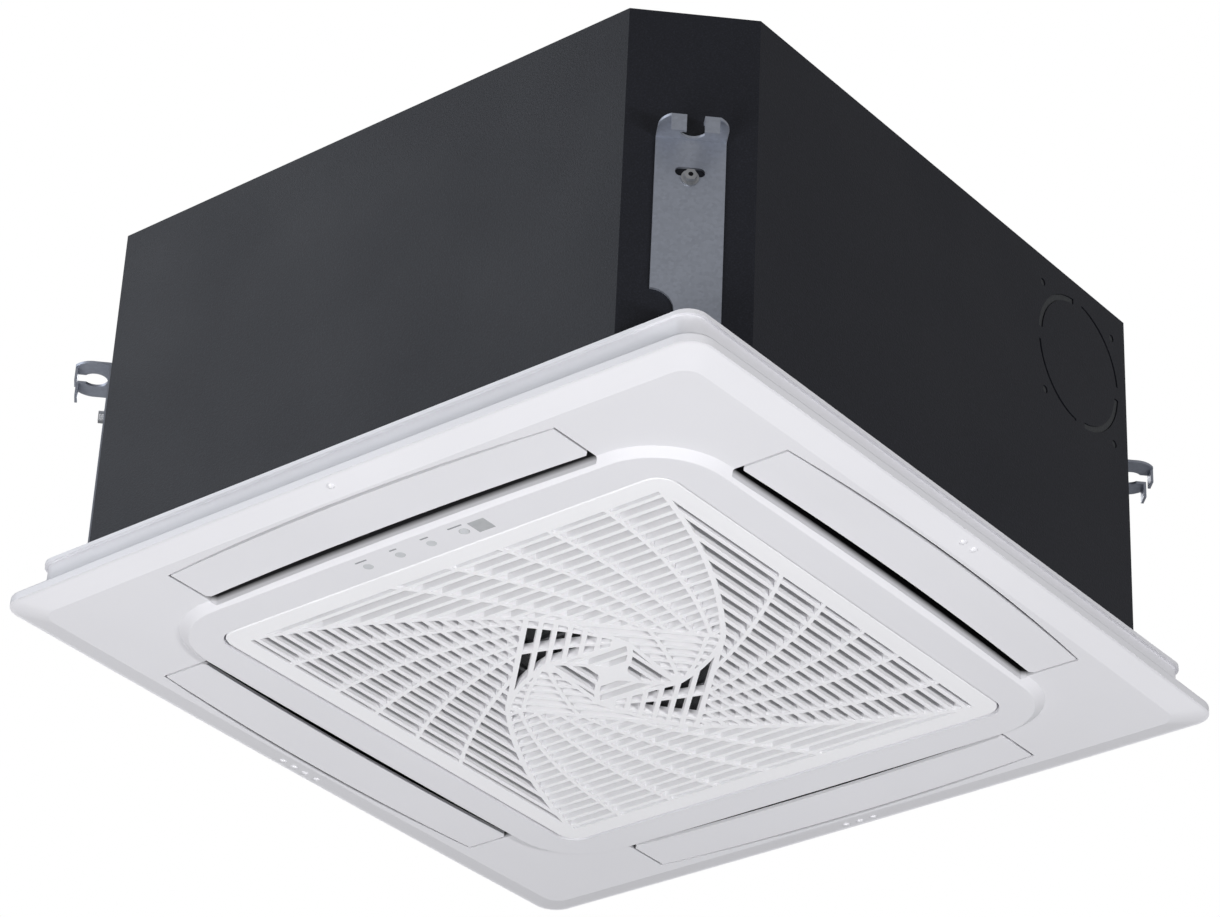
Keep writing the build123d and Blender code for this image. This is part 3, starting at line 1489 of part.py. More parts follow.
with BuildPart() as blades:
    with BuildSketch(Plane.XY.offset(shroud_bottom)):
        for blade in range(blade_count):
            with BuildSketch(mode=Mode.PRIVATE) as blade_band:
                with BuildLine():
                    root = Vector(blade_inner, 0)
                    tip = Vector(blade_outer, 0).rotate(Axis.Z, -blade_sweep)
                    belly = (root + tip) / 2 + Vector(0, blade_sag).rotate(Axis.Z, -blade_sweep / 2)
                    ThreePointArc(root, belly, tip)
                trace(line_width=blade_thickness)
            with Locations(Location((0, 0, 0), (0, 0, blade * 360 / blade_count))):
                add(blade_band.sketch)
    extrude(amount=hub_plate_level + hub_plate - shroud_bottom)
    add(blade_envelope.part, mode=Mode.INTERSECT)

with BuildPart() as fan_impeller:
    # Hub: boss, dish round the motor, and the flat back plate.
    with BuildSketch(Plane.XZ):
        with BuildLine():
            Polyline(
                (motor_shaft_radius + slip_fit / 2, boss_bottom),
                (boss_radius, boss_bottom),
                (boss_radius, dish_floor_level - hub_plate),
                (dish_floor_radius, dish_floor_level - hub_plate),
                (dish_radius, hub_plate_level),
                (fan_radius, hub_plate_level),
                (fan_radius, hub_plate_level + hub_plate),
                (dish_radius - hub_plate, hub_plate_level + hub_plate),
                (dish_floor_radius - hub_plate, dish_floor_level),
                (boss_radius, dish_floor_level),
                (boss_radius, dish_floor_level + 2 * hub_plate),
                (motor_shaft_radius + slip_fit / 2, dish_floor_level + 2 * hub_plate),
                close=True,
            )
        make_face()
    revolve(axis=Axis.Z)
    # Shroud: a thin ring that flares from the inlet lip to the rim.
    with BuildSketch(Plane.XZ):
        with BuildLine():
            Line((shroud_inlet, shroud_bottom), (shroud_inlet, lip_top))
            ThreePointArc(
                (shroud_inlet, lip_top),
                (shroud_inlet + flare_x, lip_top + flare_z + shroud_wall / 2),
                (fan_radius, shroud_edge_level + shroud_wall),
            )
            Line((fan_radius, shroud_edge_level + shroud_wall), (fan_radius, shroud_edge_level))
            ThreePointArc(
                (fan_radius, shroud_edge_level),
                (shroud_inlet + flare_x + shroud_wall / 2, lip_top + flare_z - shroud_wall / 2),
                (shroud_inlet + shroud_wall, lip_top),
            )
            Line((shroud_inlet + shroud_wall, lip_top), (shroud_inlet + shroud_wall, shroud_bottom))
            Line((shroud_inlet + shroud_wall, shroud_bottom), (shroud_inlet, shroud_bottom))
        make_face()
    revolve(axis=Axis.Z)
    add(blades.part)
fan_impeller.part.label = "fan_impeller"
export_step(fan_impeller.part, "parts/fan_impeller.step")

with BuildPart() as motor_shaft:
    with BuildSketch(Plane.XY.offset(shaft_bottom)):
        Circle(motor_shaft_radius)
    extrude(amount=shaft_top - shaft_bottom)
motor_shaft.part.label = "motor_shaft"
export_step(motor_shaft.part, "parts/motor_shaft.step")

with BuildPart() as fan_nut:
    with BuildSketch(Plane.XY.offset(boss_bottom - washer_height)):
        Circle(washer_radius)
        Circle(motor_shaft_radius + slip_fit, mode=Mode.SUBTRACT)
    extrude(amount=washer_height)
    with BuildSketch(Plane.XY.offset(boss_bottom - washer_height - fan_nut_height)):
        RegularPolygon(fan_nut_flats / 2 + motor_shaft_radius / 2, 6, major_radius=False)
        Circle(motor_shaft_radius + slip_fit, mode=Mode.SUBTRACT)
    extrude(amount=fan_nut_height)
fan_nut.part.label = "fan_nut"
export_step(fan_nut.part, "parts/fan_nut.step")

# ================================================================ fan motor
with BuildPart() as fan_motor:
    with BuildSketch(Plane.XY.offset(motor_bottom)):
        Circle(motor_radius)
    extrude(amount=motor_top - motor_bottom)
    fillet(fan_motor.edges().filter_by(GeomType.CIRCLE), motor_edge_radius)
    with BuildSketch(Plane.XY.offset(motor_bottom - motor_boss)):
        Circle(motor_boss_radius)
    extrude(amount=motor_boss + motor_edge_radius)
    # Three ears with holes for the rubber mounts.
    web_start = motor_radius / 2
    with BuildSketch(Plane.XY.offset(motor_ear_level)):
        with PolarLocations(motor_ear_reach, motor_feet, start_angle=90):
            Circle(motor_ear_radius)
        for foot in range(motor_feet):
            with Locations(Location((0, 0, 0), (0, 0, 90 + foot * 360 / motor_feet))):
                with Locations(((motor_ear_reach + web_start) / 2, 0)):
                    Rectangle(motor_ear_reach - web_start, 2 * motor_ear_radius)
    extrude(amount=motor_ear_thickness)
    with BuildSketch(Plane.XY.offset(motor_ear_level)):
        with PolarLocations(motor_ear_reach, motor_feet, start_angle=90):
            Circle(mount_neck_radius + slip_fit)
    extrude(amount=motor_ear_thickness, mode=Mode.SUBTRACT)
    with BuildSketch(Plane.XY.offset(motor_bottom - motor_boss)):
        Circle(motor_shaft_radius + running_fit)
    extrude(amount=shaft_top + cut_margin - motor_bottom + motor_boss, mode=Mode.SUBTRACT)
fan_motor.part.label = "fan_motor"
export_step(fan_motor.part, "parts/fan_motor.step")

mount_bottom = motor_ear_level - mount_pad
mount_top = motor_ear_level + motor_ear_thickness + mount_pad
with BuildPart() as motor_mounts:
    with BuildSketch(Plane.XY.offset(mount_bottom)):
        with PolarLocations(motor_ear_reach, motor_feet, start_angle=90):
            Circle(mount_radius)
    extrude(amount=mount_pad)
    with BuildSketch(Plane.XY.offset(motor_ear_level)):
        with PolarLocations(motor_ear_reach, motor_feet, start_angle=90):
            Circle(mount_neck_radius)
    extrude(amount=motor_ear_thickness)
    with BuildSketch(Plane.XY.offset(motor_ear_level + motor_ear_thickness)):
        with PolarLocations(motor_ear_reach, motor_feet, start_angle=90):
            Circle(mount_radius)
    extrude(amount=mount_pad)
    with BuildSketch(Plane.XY.offset(mount_bottom)):
        with PolarLocations(motor_ear_reach, motor_feet, start_angle=90):
            Circle(bolt_radius + slip_fit)
    extrude(amount=mount_top - mount_bottom, mode=Mode.SUBTRACT)
motor_mounts.part.label = "motor_mounts"
export_step(motor_mounts.part, "parts/motor_mounts.step")

with BuildPart() as motor_bolts:
    with BuildSketch(Plane.XY.offset(mount_bottom - bolt_head)):
        with PolarLocations(motor_ear_reach, motor_feet, start_angle=90):
            RegularPolygon(bolt_head_flats / 2, 6, major_radius=False)
    extrude(amount=bolt_head)
    with BuildSketch(Plane.XY.offset(mount_bottom)):
        with PolarLocations(motor_ear_reach, motor_feet, start_angle=90):
            Circle(bolt_radius)
    extrude(amount=mount_top - mount_bottom)
    with BuildSketch(Plane.XY.offset(mount_top)):
        with PolarLocations(motor_ear_reach, motor_feet, start_angle=90):
            Circle(bolt_post_radius)
    extrude(amount=casing_top - sheet - mount_top)
motor_bolts.part.label = "motor_bolts"
export_step(motor_bolts.part, "parts/motor_bolts.step")

# ================================================================ control box
box_width = box_rear - box_front
box_middle = (box_front + box_rear) / 2
with BuildPart() as control_box:
    with BuildSketch(Plane.XY.offset(box_bottom)):
        with Locations((0, box_middle)):
            Rectangle(2 * box_half_length, box_width)
    extrude(amount=inner_rim_level - box_bottom)
    offset(amount=-box_sheet, openings=control_box.faces().sort_by(Axis.Z)[0])
    with BuildSketch(Plane.XY.offset(inner_rim_level - box_sheet - board_stand)):
        with Locations((0, box_middle)):
            with GridLocations(2 * (control_board_half_length - board_post_inset), 0, 2, 1):
                Circle(board_post_radius)
    extrude(amount=board_stand + box_sheet / 2)
control_box.part.label = "control_box"
export_step(control_box.part, "parts/control_box.step")

with BuildPart() as control_box_cover:
    with BuildSketch(Plane.XY.offset(box_bottom - box_sheet)):
        with Locations((0, box_middle)):
            Rectangle(2 * (box_half_length + box_cover_overlap), box_width + 2 * box_cover_overlap)
    extrude(amount=box_sheet)
control_box_cover.part.label = "control_box_cover"
export_step(control_box_cover.part, "parts/control_box_cover.step")

control_board_top = inner_rim_level - box_sheet - board_stand
control_board_under = control_board_top - board_thickness
with BuildPart() as control_board:
    with BuildSketch(Plane.XY.offset(control_board_under)):
        with Locations((0, box_middle)):
            Rectangle(
                2 * control_board_half_length, box_width - 2 * box_sheet - 2 * control_board_margin
            )
    extrude(amount=board_thickness)
control_board.part.label = "control_board"
export_step(control_board.part, "parts/control_board.step")

with BuildPart() as terminal_block:
    with BuildSketch(Plane.XY.offset(control_board_under - terminal_height)):
        with Locations((terminal_place, box_middle)):
            Rectangle(terminal_length, terminal_width)
    extrude(amount=terminal_height)
    with BuildSketch(Plane.XY.offset(control_board_under - terminal_height)):
        with Locations((terminal_place, box_middle)):
            with GridLocations(terminal_length / terminal_ways, 0, terminal_ways, 1):
                Rectangle(terminal_length / terminal_ways - 2 * box_sheet, terminal_width / 2)
    extrude(amount=terminal_height / 2, mode=Mode.SUBTRACT)
terminal_block.part.label = "terminal_block"
export_step(terminal_block.part, "parts/terminal_block.step")

with BuildPart() as fan_capacitor:
    with BuildSketch(Plane.XY.offset(control_board_under - capacitor_height)):
        with Locations((capacitor_place, box_middle)):
            RectangleRounded(capacitor_length, capacitor_width, capacitor_corner)
    extrude(amount=capacitor_height)
fan_capacitor.part.label = "fan_capacitor"
export_step(fan_capacitor.part, "parts/fan_capacitor.step")
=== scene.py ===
import bpy
import numpy as np
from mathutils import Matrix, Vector


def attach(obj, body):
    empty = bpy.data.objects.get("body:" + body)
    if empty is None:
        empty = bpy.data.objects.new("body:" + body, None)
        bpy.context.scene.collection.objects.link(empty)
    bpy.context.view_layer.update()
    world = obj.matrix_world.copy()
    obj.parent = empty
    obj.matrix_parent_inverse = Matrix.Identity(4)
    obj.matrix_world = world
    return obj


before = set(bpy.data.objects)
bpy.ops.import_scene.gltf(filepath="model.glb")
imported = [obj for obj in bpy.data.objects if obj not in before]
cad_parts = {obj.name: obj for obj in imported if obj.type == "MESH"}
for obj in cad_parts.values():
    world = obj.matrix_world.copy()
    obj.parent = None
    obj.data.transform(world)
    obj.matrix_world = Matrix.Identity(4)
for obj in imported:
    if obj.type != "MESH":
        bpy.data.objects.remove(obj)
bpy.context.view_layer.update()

bl_info = {
    "name": "Ceiling cassette air conditioner",
    "version": (1, 0, 0),
    "blender": (4, 5, 0),
    "location": "3D View > Sidebar > Cassette",
    "description": "Finishes and small mouldings for a four-way ceiling cassette on its CAD frame",
    "category": "Object",
}

MM = 0.001
SIDE_TURNS = (0.0, 90.0, 180.0, 270.0)
WHITE = (1.0, 1.0, 1.0)
# Colour of the painted shade in the deep air ways and in the screw recesses.
SHADE_BLACK = (0.02, 0.02, 0.022)
# A wave texture of scale s repeats every 0.314 / s metres.
WAVE_SPAN = 0.314
# 1 / sqrt(2), the share of |x| - |y| that is a distance from the diagonal.
DIAGONAL = 0.7071

# The rim of the fascia: its underside starts that far from the middle, at that level, and rises
# by RIM_RISE over RIM_WIDTH, which is RIM_SLOPE. The start is bowed out by RIM_BOW in the middle
# of each side and by nothing at RIM_HALF from there.
RIM_START, RIM_LEVEL, RIM_RISE, RIM_WIDTH = 0.289, 0.005, 0.0045, 0.019
RIM_SLOPE = 0.237
RIM_BOW, RIM_HALF = 0.0028, 0.3

# A dot is a dome of so many rings and steps on a slightly wider foot that is sunk in the rim. A
# share under 1 leaves the dome a small flat top.
DOME_RINGS, DOME_STEPS, DOME_SHARE = 7, 28, 0.995
FOOT_SPREAD, FOOT_LEVEL = 1.02, -0.0012

# Printed bars of the display strip, in millimetres: the middle and half the length of each, then
# what all of them share.
PRINTED_BARS = ((-42, 5.2), (-13, 3.2), (15, 3.6), (42, 6.2))
BAR_HALF_HEIGHT, BAR_ROW, BAR_TOP, BAR_FOOT, BAR_STEPS = 0.75, -225.0, 0.02, -0.05, 24

# Soft lamps: name, place, target, width, height and colour.
LAMPS = (
    ("key", (0.0, -2.80, -2.45), (0.0, 0.0, 0.05), 1.8, 1.8, WHITE),
    ("side", (3.10, -0.5, -1.34), (0.0, 0.0, 0.02), 1.7, 0.2, WHITE),
    ("fill", (-0.8, 0.2, -2.2), (0.0, 0.0, 0.0), 2.4, 2.4, WHITE),
    ("sheen", (-1.7, -2.1, 1.55), (0.0, -0.3, 0.15), 1.8, 1.8, (0.88, 0.93, 1.0)),
    ("back", (-1.6, 2.0, 1.7), (0.0, 0.0, 0.15), 2.0, 2.0, WHITE),
)
FLOOR_HALF = 16.0
FLOOR_GLOW = 0.62
ROOM_TINT = (0.95, 0.97, 1.0)
MIRRORED_ROOM = 0.35
SENSOR_WIDTH = 36.0
LENS_SHIFT = (0.084437, -0.019968)


# ------------------------------------------------------------------ sizes and colours
class CassetteLooks(bpy.types.PropertyGroup):
    """Colours and grain of the finishes."""

    panel_white: bpy.props.FloatVectorProperty(
        name="Fascia white", description="Colour of the moulded fascia and its louvres",
        default=(0.80, 0.795, 0.83), subtype="COLOR", min=0.0, max=1.0)
    grille_white: bpy.props.FloatVectorProperty(
        name="Grille white", description="Colour of the intake grille",
        default=(0.91, 0.905, 0.93), subtype="COLOR", min=0.0, max=1.0)
    casing_black: bpy.props.FloatVectorProperty(
        name="Casing black", description="Colour of the textured paint on the sheet-steel casing",
        default=(0.012, 0.0128, 0.0175), subtype="COLOR", min=0.0, max=1.0)
    zinc_grey: bpy.props.FloatVectorProperty(
        name="Zinc grey", description="Colour of the galvanised hanger brackets",
        default=(0.38, 0.405, 0.47), subtype="COLOR", min=0.0, max=1.0)
    lens_grey: bpy.props.FloatVectorProperty(
        name="Lens grey", description="Colour of the receiver window and the lamp lenses",
        default=(0.52, 0.53, 0.55), subtype="COLOR", min=0.0, max=1.0)
    paint_grain: bpy.props.FloatProperty(
        name="Paint grain", description="Size of one grain of the casing's textured paint",
        default=0.0011, unit="LENGTH", min=0.0002, max=0.01)
    spangle: bpy.props.FloatProperty(
        name="Zinc spangle", description="Size of one crystal of the galvanised coating",
        default=0.0022, unit="LENGTH", min=0.001, max=0.03)


class CassetteSizes(bpy.types.PropertyGroup):
    """Sizes of the small mouldings that are made here."""

    dot_radius: bpy.props.FloatProperty(
        name="Dot radius", description="Radius of one moulded dot that numbers an air outlet",
        default=0.0026, unit="LENGTH", min=0.0005, max=0.01)
    dot_height: bpy.props.FloatProperty(
        name="Dot height", description="Height of one moulded dot",
        default=0.0013, unit="LENGTH", min=0.0001, max=0.004)
    dot_pitch: bpy.props.FloatProperty(
        name="Dot pitch", description="Distance between the dots of one side",
        default=0.0125, unit="LENGTH", min=0.004, max=0.05)
    dot_reach: bpy.props.FloatProperty(
        name="Dot reach", description="Distance of the dots from the middle of the fascia",
        default=0.3035, unit="LENGTH", min=0.29, max=0.306)


class CassetteStage(bpy.types.PropertyGroup):
    """Camera, floor and light."""

    camera_place: bpy.props.FloatVectorProperty(
        name="Camera place", description="Place of the camera below the unit",
        default=(1.582646, -1.916643, -1.311487), subtype="TRANSLATION", unit="LENGTH")
    camera_turn: bpy.props.FloatVectorProperty(
        name="Camera turn", description="Turn of the camera about X, Y and Z",
        default=(2.116665, -0.053954, 0.692285), subtype="EULER", unit="ROTATION")
    lens: bpy.props.FloatProperty(
        name="Lens", description="Focal length in millimetres on a 36 mm wide sensor",
        default=116.0, min=20.0, max=300.0)
    floor_level: bpy.props.FloatProperty(
        name="Floor level", description="Level of the floor below the unit",
        default=-7.0, unit="LENGTH")
    key_power: bpy.props.FloatProperty(
        name="Key light",
        description="Power of the soft lamp below the side of the display strip, in watts",
        default=84.0, min=0.0, max=500.0)
    side_power: bpy.props.FloatProperty(
        name="Side light",
        description="Power of the low lamp on the side of the knock-out, in watts",
        default=62.0, min=0.0, max=500.0)
    fill_power: bpy.props.FloatProperty(
        name="Fill light", description="Power of the soft lamp under the unit, in watts",
        default=10.0, min=0.0, max=500.0)
    sheen_power: bpy.props.FloatProperty(
        name="Sheen light",
        description="Power of the lamp that the left wall of the casing mirrors, in watts",
        default=26.0, min=0.0, max=500.0)
    back_power: bpy.props.FloatProperty(
        name="Back light", description="Power of the soft lamp above and behind the unit, in watts",
        default=55.0, min=0.0, max=500.0)
    room: bpy.props.FloatProperty(
        name="Room light", description="Strength of the even light of the room",
        default=0.18, min=0.0, max=2.0)


def looks():
    """Colours and grain that the panel shows."""
    return bpy.context.scene.cassette_looks


def sizes():
    """Sizes that the panel shows."""
    return bpy.context.scene.cassette_sizes


# ------------------------------------------------------------------ surfaces
def mesh_piece(name, points, faces, smooth=True):
    """Mesh object at the origin from an array of points and lists of point numbers."""
    mesh = bpy.data.meshes.new(name)
    mesh.from_pydata(points.tolist(), [], [tuple(face) for face in faces])
    mesh.update()
    mesh.polygons.foreach_set("use_smooth", np.full(len(mesh.polygons), smooth))
    piece = bpy.data.objects.new(name, mesh)
    bpy.context.scene.collection.objects.link(piece)
    return piece


def grid_faces(rows, columns):
    """Quads of a grid of rows by columns whose last column joins the first: each point is joined
    to the one beside it and to the two above those."""
    row, column = np.meshgrid(np.arange(rows - 1), np.arange(columns), indexing="ij")
    beside = (column + 1) % columns
    quads = np.stack(
        [row * columns + column, row * columns + beside,
         (row + 1) * columns + beside, (row + 1) * columns + column], -1)
    return quads.reshape(-1, 4).tolist()


def end_faces(rows, columns):
    """The two faces that close the first and the last row of such a grid."""
    return [list(range(columns))[::-1], list(range((rows - 1) * columns, rows * columns))]


def turned(radii, levels, steps):
    """Surface of revolution about Z, closed at both ends: each profile point (radius, level) is
    carried round a circle, x = radius * cos(angle), y = radius * sin(angle), z = level."""
    angle = np.arange(steps) * 2 * np.pi / steps
    radii, levels = np.asarray(radii, float), np.asarray(levels, float)
    x = radii[:, None] * np.cos(angle)
    y = radii[:, None] * np.sin(angle)
    z = np.broadcast_to(levels[:, None], x.shape)
    points = np.stack([x, y, z], -1).reshape(-1, 3)
    return points, grid_faces(len(radii), steps) + end_faces(len(radii), steps)


def pill(half_length, half_height, top, foot, steps):
    """Flat pill about Z: a circle of radius half_height whose two halves are moved apart along X
    to half_length, drawn at the levels top and foot and facing down."""
    angle = np.linspace(0, 2 * np.pi, steps, endpoint=False)
    edge = np.stack([np.cos(angle), np.sin(angle), np.zeros_like(angle)], 1) * half_height
    edge[:, 0] += np.sign(np.cos(angle)) * (half_length - half_height)
    points = np.concatenate([edge + (0, 0, top), edge + (0, 0, foot)])
    return points, [face[::-1] for face in grid_faces(2, steps) + end_faces(2, steps)]


def placed(points, place, normal, across):
    """Points turned so that their X follows across and their Z follows normal, then moved to
    place: each is place + x * across + y * (normal x across) + z * normal."""
    normal = np.asarray(normal, float) / np.linalg.norm(normal)
    across = np.asarray(across, float)
    across = across - normal * (across @ normal)
    across = across / np.linalg.norm(across)
    turn = np.stack([across, np.cross(normal, across), normal], 1)
    return points @ turn.T + np.asarray(place, float)


def gathered(name, shapes, smooth=True):
    """One piece from several (points, faces) shapes."""
    points, faces, first = [], [], 0
    for shape_points, shape_faces in shapes:
        points.append(shape_points)
        faces += [[first + number for number in face] for face in shape_faces]
        first += len(shape_points)
    return mesh_piece(name, np.concatenate(points), faces, smooth)


def side_turn(turn):
    """Matrix that turns side 1 about Z to the side that is so many degrees on."""
    cosine, sine = np.cos(np.radians(turn)), np.sin(np.radians(turn))
    return np.array([[cosine, -sine, 0], [sine, cosine, 0], [0, 0, 1]])


# ------------------------------------------------------------------ nodes
def feed(tree, socket, value):
    """Links a socket to another one, or sets it to a plain value."""
    if isinstance(value, bpy.types.NodeSocket):
        tree.links.new(value, socket)
    else:
        socket.default_value = value


def new_node(tree, kind, inputs):
    """Node of that kind; inputs names its sockets, each with the socket or value that feeds it."""
    node = tree.nodes.new("ShaderNode" + kind)
    for name, value in inputs.items():
        feed(tree, node.inputs[name], value)
    return node


def new_finish(name, inputs):
    """Material with only its shader and output; returns (material, tree, shader)."""
    material = bpy.data.materials.new(name)
    material.use_nodes = True
    tree = material.node_tree
    tree.nodes.clear()
    shader = new_node(tree, "BsdfPrincipled", inputs)
    new_node(tree, "OutputMaterial", {"Surface": shader.outputs["BSDF"]})
    return material, tree, shader


def object_place(tree, scale=(1.0, 1.0, 1.0)):
    """Object coordinates, scaled."""
    place = tree.nodes.new("ShaderNodeTexCoord")
    mapping = new_node(tree, "Mapping", {"Scale": scale, "Vector": place.outputs["Object"]})
    return mapping.outputs["Vector"]


def noise(tree, place, scale, detail=2.0, roughness=0.5):
    """Cloudy pattern, with scale clouds to the metre."""
    node = new_node(tree, "TexNoise", {
        "Vector": place, "Scale": scale, "Detail": detail, "Roughness": roughness})
    return node.outputs["Fac"]


def cells(tree, place, scale, feature="F1"):
    """Pattern of irregular cells, with scale cells to the metre."""
    node = tree.nodes.new("ShaderNodeTexVoronoi")
    node.feature = feature
    feed(tree, node.inputs["Scale"], scale)
    feed(tree, node.inputs["Vector"], place)
    return node


def bands(tree, place, pitch):
    """Stripes of that pitch across X and across Y."""
    stripes = []
    for axis in ("X", "Y"):
        wave = new_node(tree, "TexWave", {"Vector": place, "Scale": WAVE_SPAN / pitch})
        wave.bands_direction = axis
        stripes.append(wave.outputs["Fac"])
    return stripes


def reckoned(tree, operation, first, second=0.0):
    """Result of one step of arithmetic on two sockets or numbers."""
    node = tree.nodes.new("ShaderNodeMath")
    node.operation = operation
    feed(tree, node.inputs[0], first)
    feed(tree, node.inputs[1], second)
    return node.outputs["Value"]


def mixed(tree, kind, factor, first, second):
    """Mix of two sockets or values by a factor; kind says whether they are Float or Color."""
    node = tree.nodes.new("ShaderNodeMix")
    node.data_type = {"Float": "FLOAT", "Color": "RGBA"}[kind]
    inputs = {socket.identifier: socket for socket in node.inputs}
    feed(tree, inputs["Factor_Float"], factor)
    feed(tree, inputs[f"A_{kind}"], first)
    feed(tree, inputs[f"B_{kind}"], second)
    outputs = {socket.identifier: socket for socket in node.outputs}
    return outputs[f"Result_{kind}"]


def mixed_light(tree, factor, first, second):
    """Mix of two shader nodes by a factor."""
    node = new_node(tree, "MixShader", {"Fac": factor})
    tree.links.new(first.outputs[0], node.inputs[1])
    tree.links.new(second.outputs[0], node.inputs[2])
    return node


def separated(tree, vector):
    """The X, Y and Z of a vector."""
    return new_node(tree, "SeparateXYZ", {"Vector": vector}).outputs


def side_place(tree):
    """Object coordinates as |x|, |y| and z, which say the same on all four sides."""
    parts = separated(tree, object_place(tree))
    return (reckoned(tree, "ABSOLUTE", parts["X"]), reckoned(tree, "ABSOLUTE", parts["Y"]),
            parts["Z"])


def coloured(tree, shader, pattern, *stops):
    """Base colour that runs through (position, colour) stops as a pattern rises."""
    node = new_node(tree, "ValToRGB", {"Fac": pattern})
    elements = node.color_ramp.elements
    while len(elements) < len(stops):
        elements.new(0.5)
    for element, (position, colour) in zip(elements, stops):
        element.position = position
        element.color = (*colour, 1.0)
    tree.links.new(node.outputs["Color"], shader.inputs["Base Color"])


def uneven(tree, shader, pattern, low, high):
    """Roughness that runs from low to high as a pattern rises from 0 to 1."""
    node = new_node(tree, "MapRange", {"Value": pattern, "To Min": low, "To Max": high})
    tree.links.new(node.outputs["Result"], shader.inputs["Roughness"])


def relief(tree, shader, pattern, depth, strength=1.0):
    """Bump of that depth in metres on the shader's normal."""
    node = new_node(tree, "Bump", {"Height": pattern, "Distance": depth, "Strength": strength})
    tree.links.new(node.outputs["Normal"], shader.inputs["Normal"])


def paint_shade(tree, inside):
    """Painted shade: nearly black in place of the finish's own colour where inside is 1."""
    base = tree.nodes["Principled BSDF"].inputs["Base Color"]
    own = base.links[0].from_socket
    tree.links.new(mixed(tree, "Color", inside, own, (*SHADE_BLACK, 1.0)), base)


def tinted(colour, share):
    """Colour made lighter or darker by a share."""
    return tuple(min(1.0, value * share) for value in colour)


# ------------------------------------------------------------------ finishes
def moulded_plastic(name, colour, roughness, grain=900.0, depth=0.00004):
    """Injection-moulded plastic: faint cloudy tone, fine spark-eroded grain."""
    material, tree, shader = new_finish(name, {"IOR": 1.47})
    place = object_place(tree)
    coloured(tree, shader, noise(tree, place, 6.0, detail=3.0),
             (0.35, tinted(colour, 0.985)), (0.65, tinted(colour, 1.01)))
    uneven(tree, shader, noise(tree, place, 40.0, detail=4.0), roughness - 0.04, roughness + 0.05)
    relief(tree, shader, noise(tree, place, grain), depth)
    return material


def air_way_shade(material, inner=0.2285, outer=0.2905, half_length=0.176, low=0.005, high=0.0095):
    """Finish whose air ways get painted shade: where the greater of |x| and |y| lies between inner
    and outer and the smaller one is under half_length, the colour falls to a nearly black painted
    shade as z rises from low to high."""
    tree = material.node_tree
    side_x, side_y, level = side_place(tree)
    reach = reckoned(tree, "MAXIMUM", side_x, side_y)
    along = reckoned(tree, "MINIMUM", side_x, side_y)
    rise = new_node(tree, "MapRange", {"Value": level, "From Min": low, "From Max": high})
    inside = rise.outputs["Result"]
    for value, operation, bound in ((reach, "GREATER_THAN", inner), (reach, "LESS_THAN", outer),
                                    (along, "LESS_THAN", half_length)):
        inside = reckoned(tree, "MULTIPLY", inside, reckoned(tree, operation, value, bound))
    paint_shade(tree, inside)
    return material


def screw_with_recess_shade(name, colour, level, radius):
    """Plated screw with painted shade for its recess round the line |x| = |y| at that level: the
    colour is painted dark where ((|x| - |y|) * DIAGONAL) squared + (z - level) squared is under
    radius squared."""
    material = turned_metal(name, colour, roughness=0.36)
    tree = material.node_tree
    side_x, side_y, height = side_place(tree)
    across = reckoned(tree, "MULTIPLY", reckoned(tree, "SUBTRACT", side_x, side_y), DIAGONAL)
    rise = reckoned(tree, "SUBTRACT", height, level)
    squares = reckoned(tree, "ADD", reckoned(tree, "MULTIPLY", across, across),
                       reckoned(tree, "MULTIPLY", rise, rise))
    paint_shade(tree, reckoned(tree, "LESS_THAN", squares, radius ** 2))
    return material


def textured_paint(name, colour, grain):
    """Matt textured powder paint: fine speckle, pebbled skin."""
    material, tree, shader = new_finish(name, {"IOR": 1.45, "Specular IOR Level": 0.30})
    place = object_place(tree)
    coloured(tree, shader, noise(tree, place, 1.0 / grain, detail=3.0, roughness=0.7),
             (0.30, tinted(colour, 0.72)), (0.52, colour), (0.74, tinted(colour, 1.7)))
    uneven(tree, shader, noise(tree, place, 9.0, detail=3.0), low=0.46, high=0.58)
    pebbles = cells(tree, place, 0.9 / grain, "SMOOTH_F1").outputs["Distance"]
    relief(tree, shader, pebbles, depth=0.00018, strength=0.7)
    return material


def galvanised_steel(name, colour, spangle):
    """Hot-dipped zinc: crystals of slightly different grey, upright streaks, soft gloss."""
    material, tree, shader = new_finish(name, {"Metallic": 0.75})
    place = object_place(tree)
    crystals = cells(tree, place, 1.0 / spangle).outputs["Color"]
    grey = new_node(tree, "RGBToBW", {"Color": crystals})
    coloured(tree, shader, grey.outputs["Val"],
             (0.1, tinted(colour, 0.93)), (0.9, tinted(colour, 1.06)))
    uneven(tree, shader, noise(tree, place, 90.0, detail=3.0), low=0.38, high=0.56)
    streaks = noise(tree, object_place(tree, (1, 1, 0.05)), 700.0)
    relief(tree, shader, streaks, depth=0.00005, strength=0.5)
    return material


def turned_metal(name, colour, roughness, grain=1500.0):
    """Bare or plated metal with fine turning marks."""
    material, tree, shader = new_finish(name, {"Metallic": 1.0})
    place = object_place(tree)
    coloured(tree, shader, noise(tree, place, 60.0, detail=4.0),
             (0.3, tinted(colour, 0.85)), (0.7, tinted(colour, 1.08)))
    uneven(tree, shader, noise(tree, place, 250.0, detail=3.0), roughness - 0.08, roughness + 0.10)
    marks = noise(tree, object_place(tree, (1, 1, 3)), grain)
    relief(tree, shader, marks, depth=0.00003, strength=0.5)
    return material


def bead_foam(name, colour, bead=0.0035):
    """Expanded bead foam: packed beads with dark joints."""
    material, tree, shader = new_finish(name, {})
    place = object_place(tree)
    beads = cells(tree, place, 1.0 / bead, "DISTANCE_TO_EDGE").outputs["Distance"]
    coloured(tree, shader, beads, (0.0, tinted(colour, 0.82)), (0.12, colour))
    uneven(tree, shader, noise(tree, place, 120.0), low=0.75, high=0.92)
    relief(tree, shader, beads, depth=0.0004, strength=0.6)
    return material


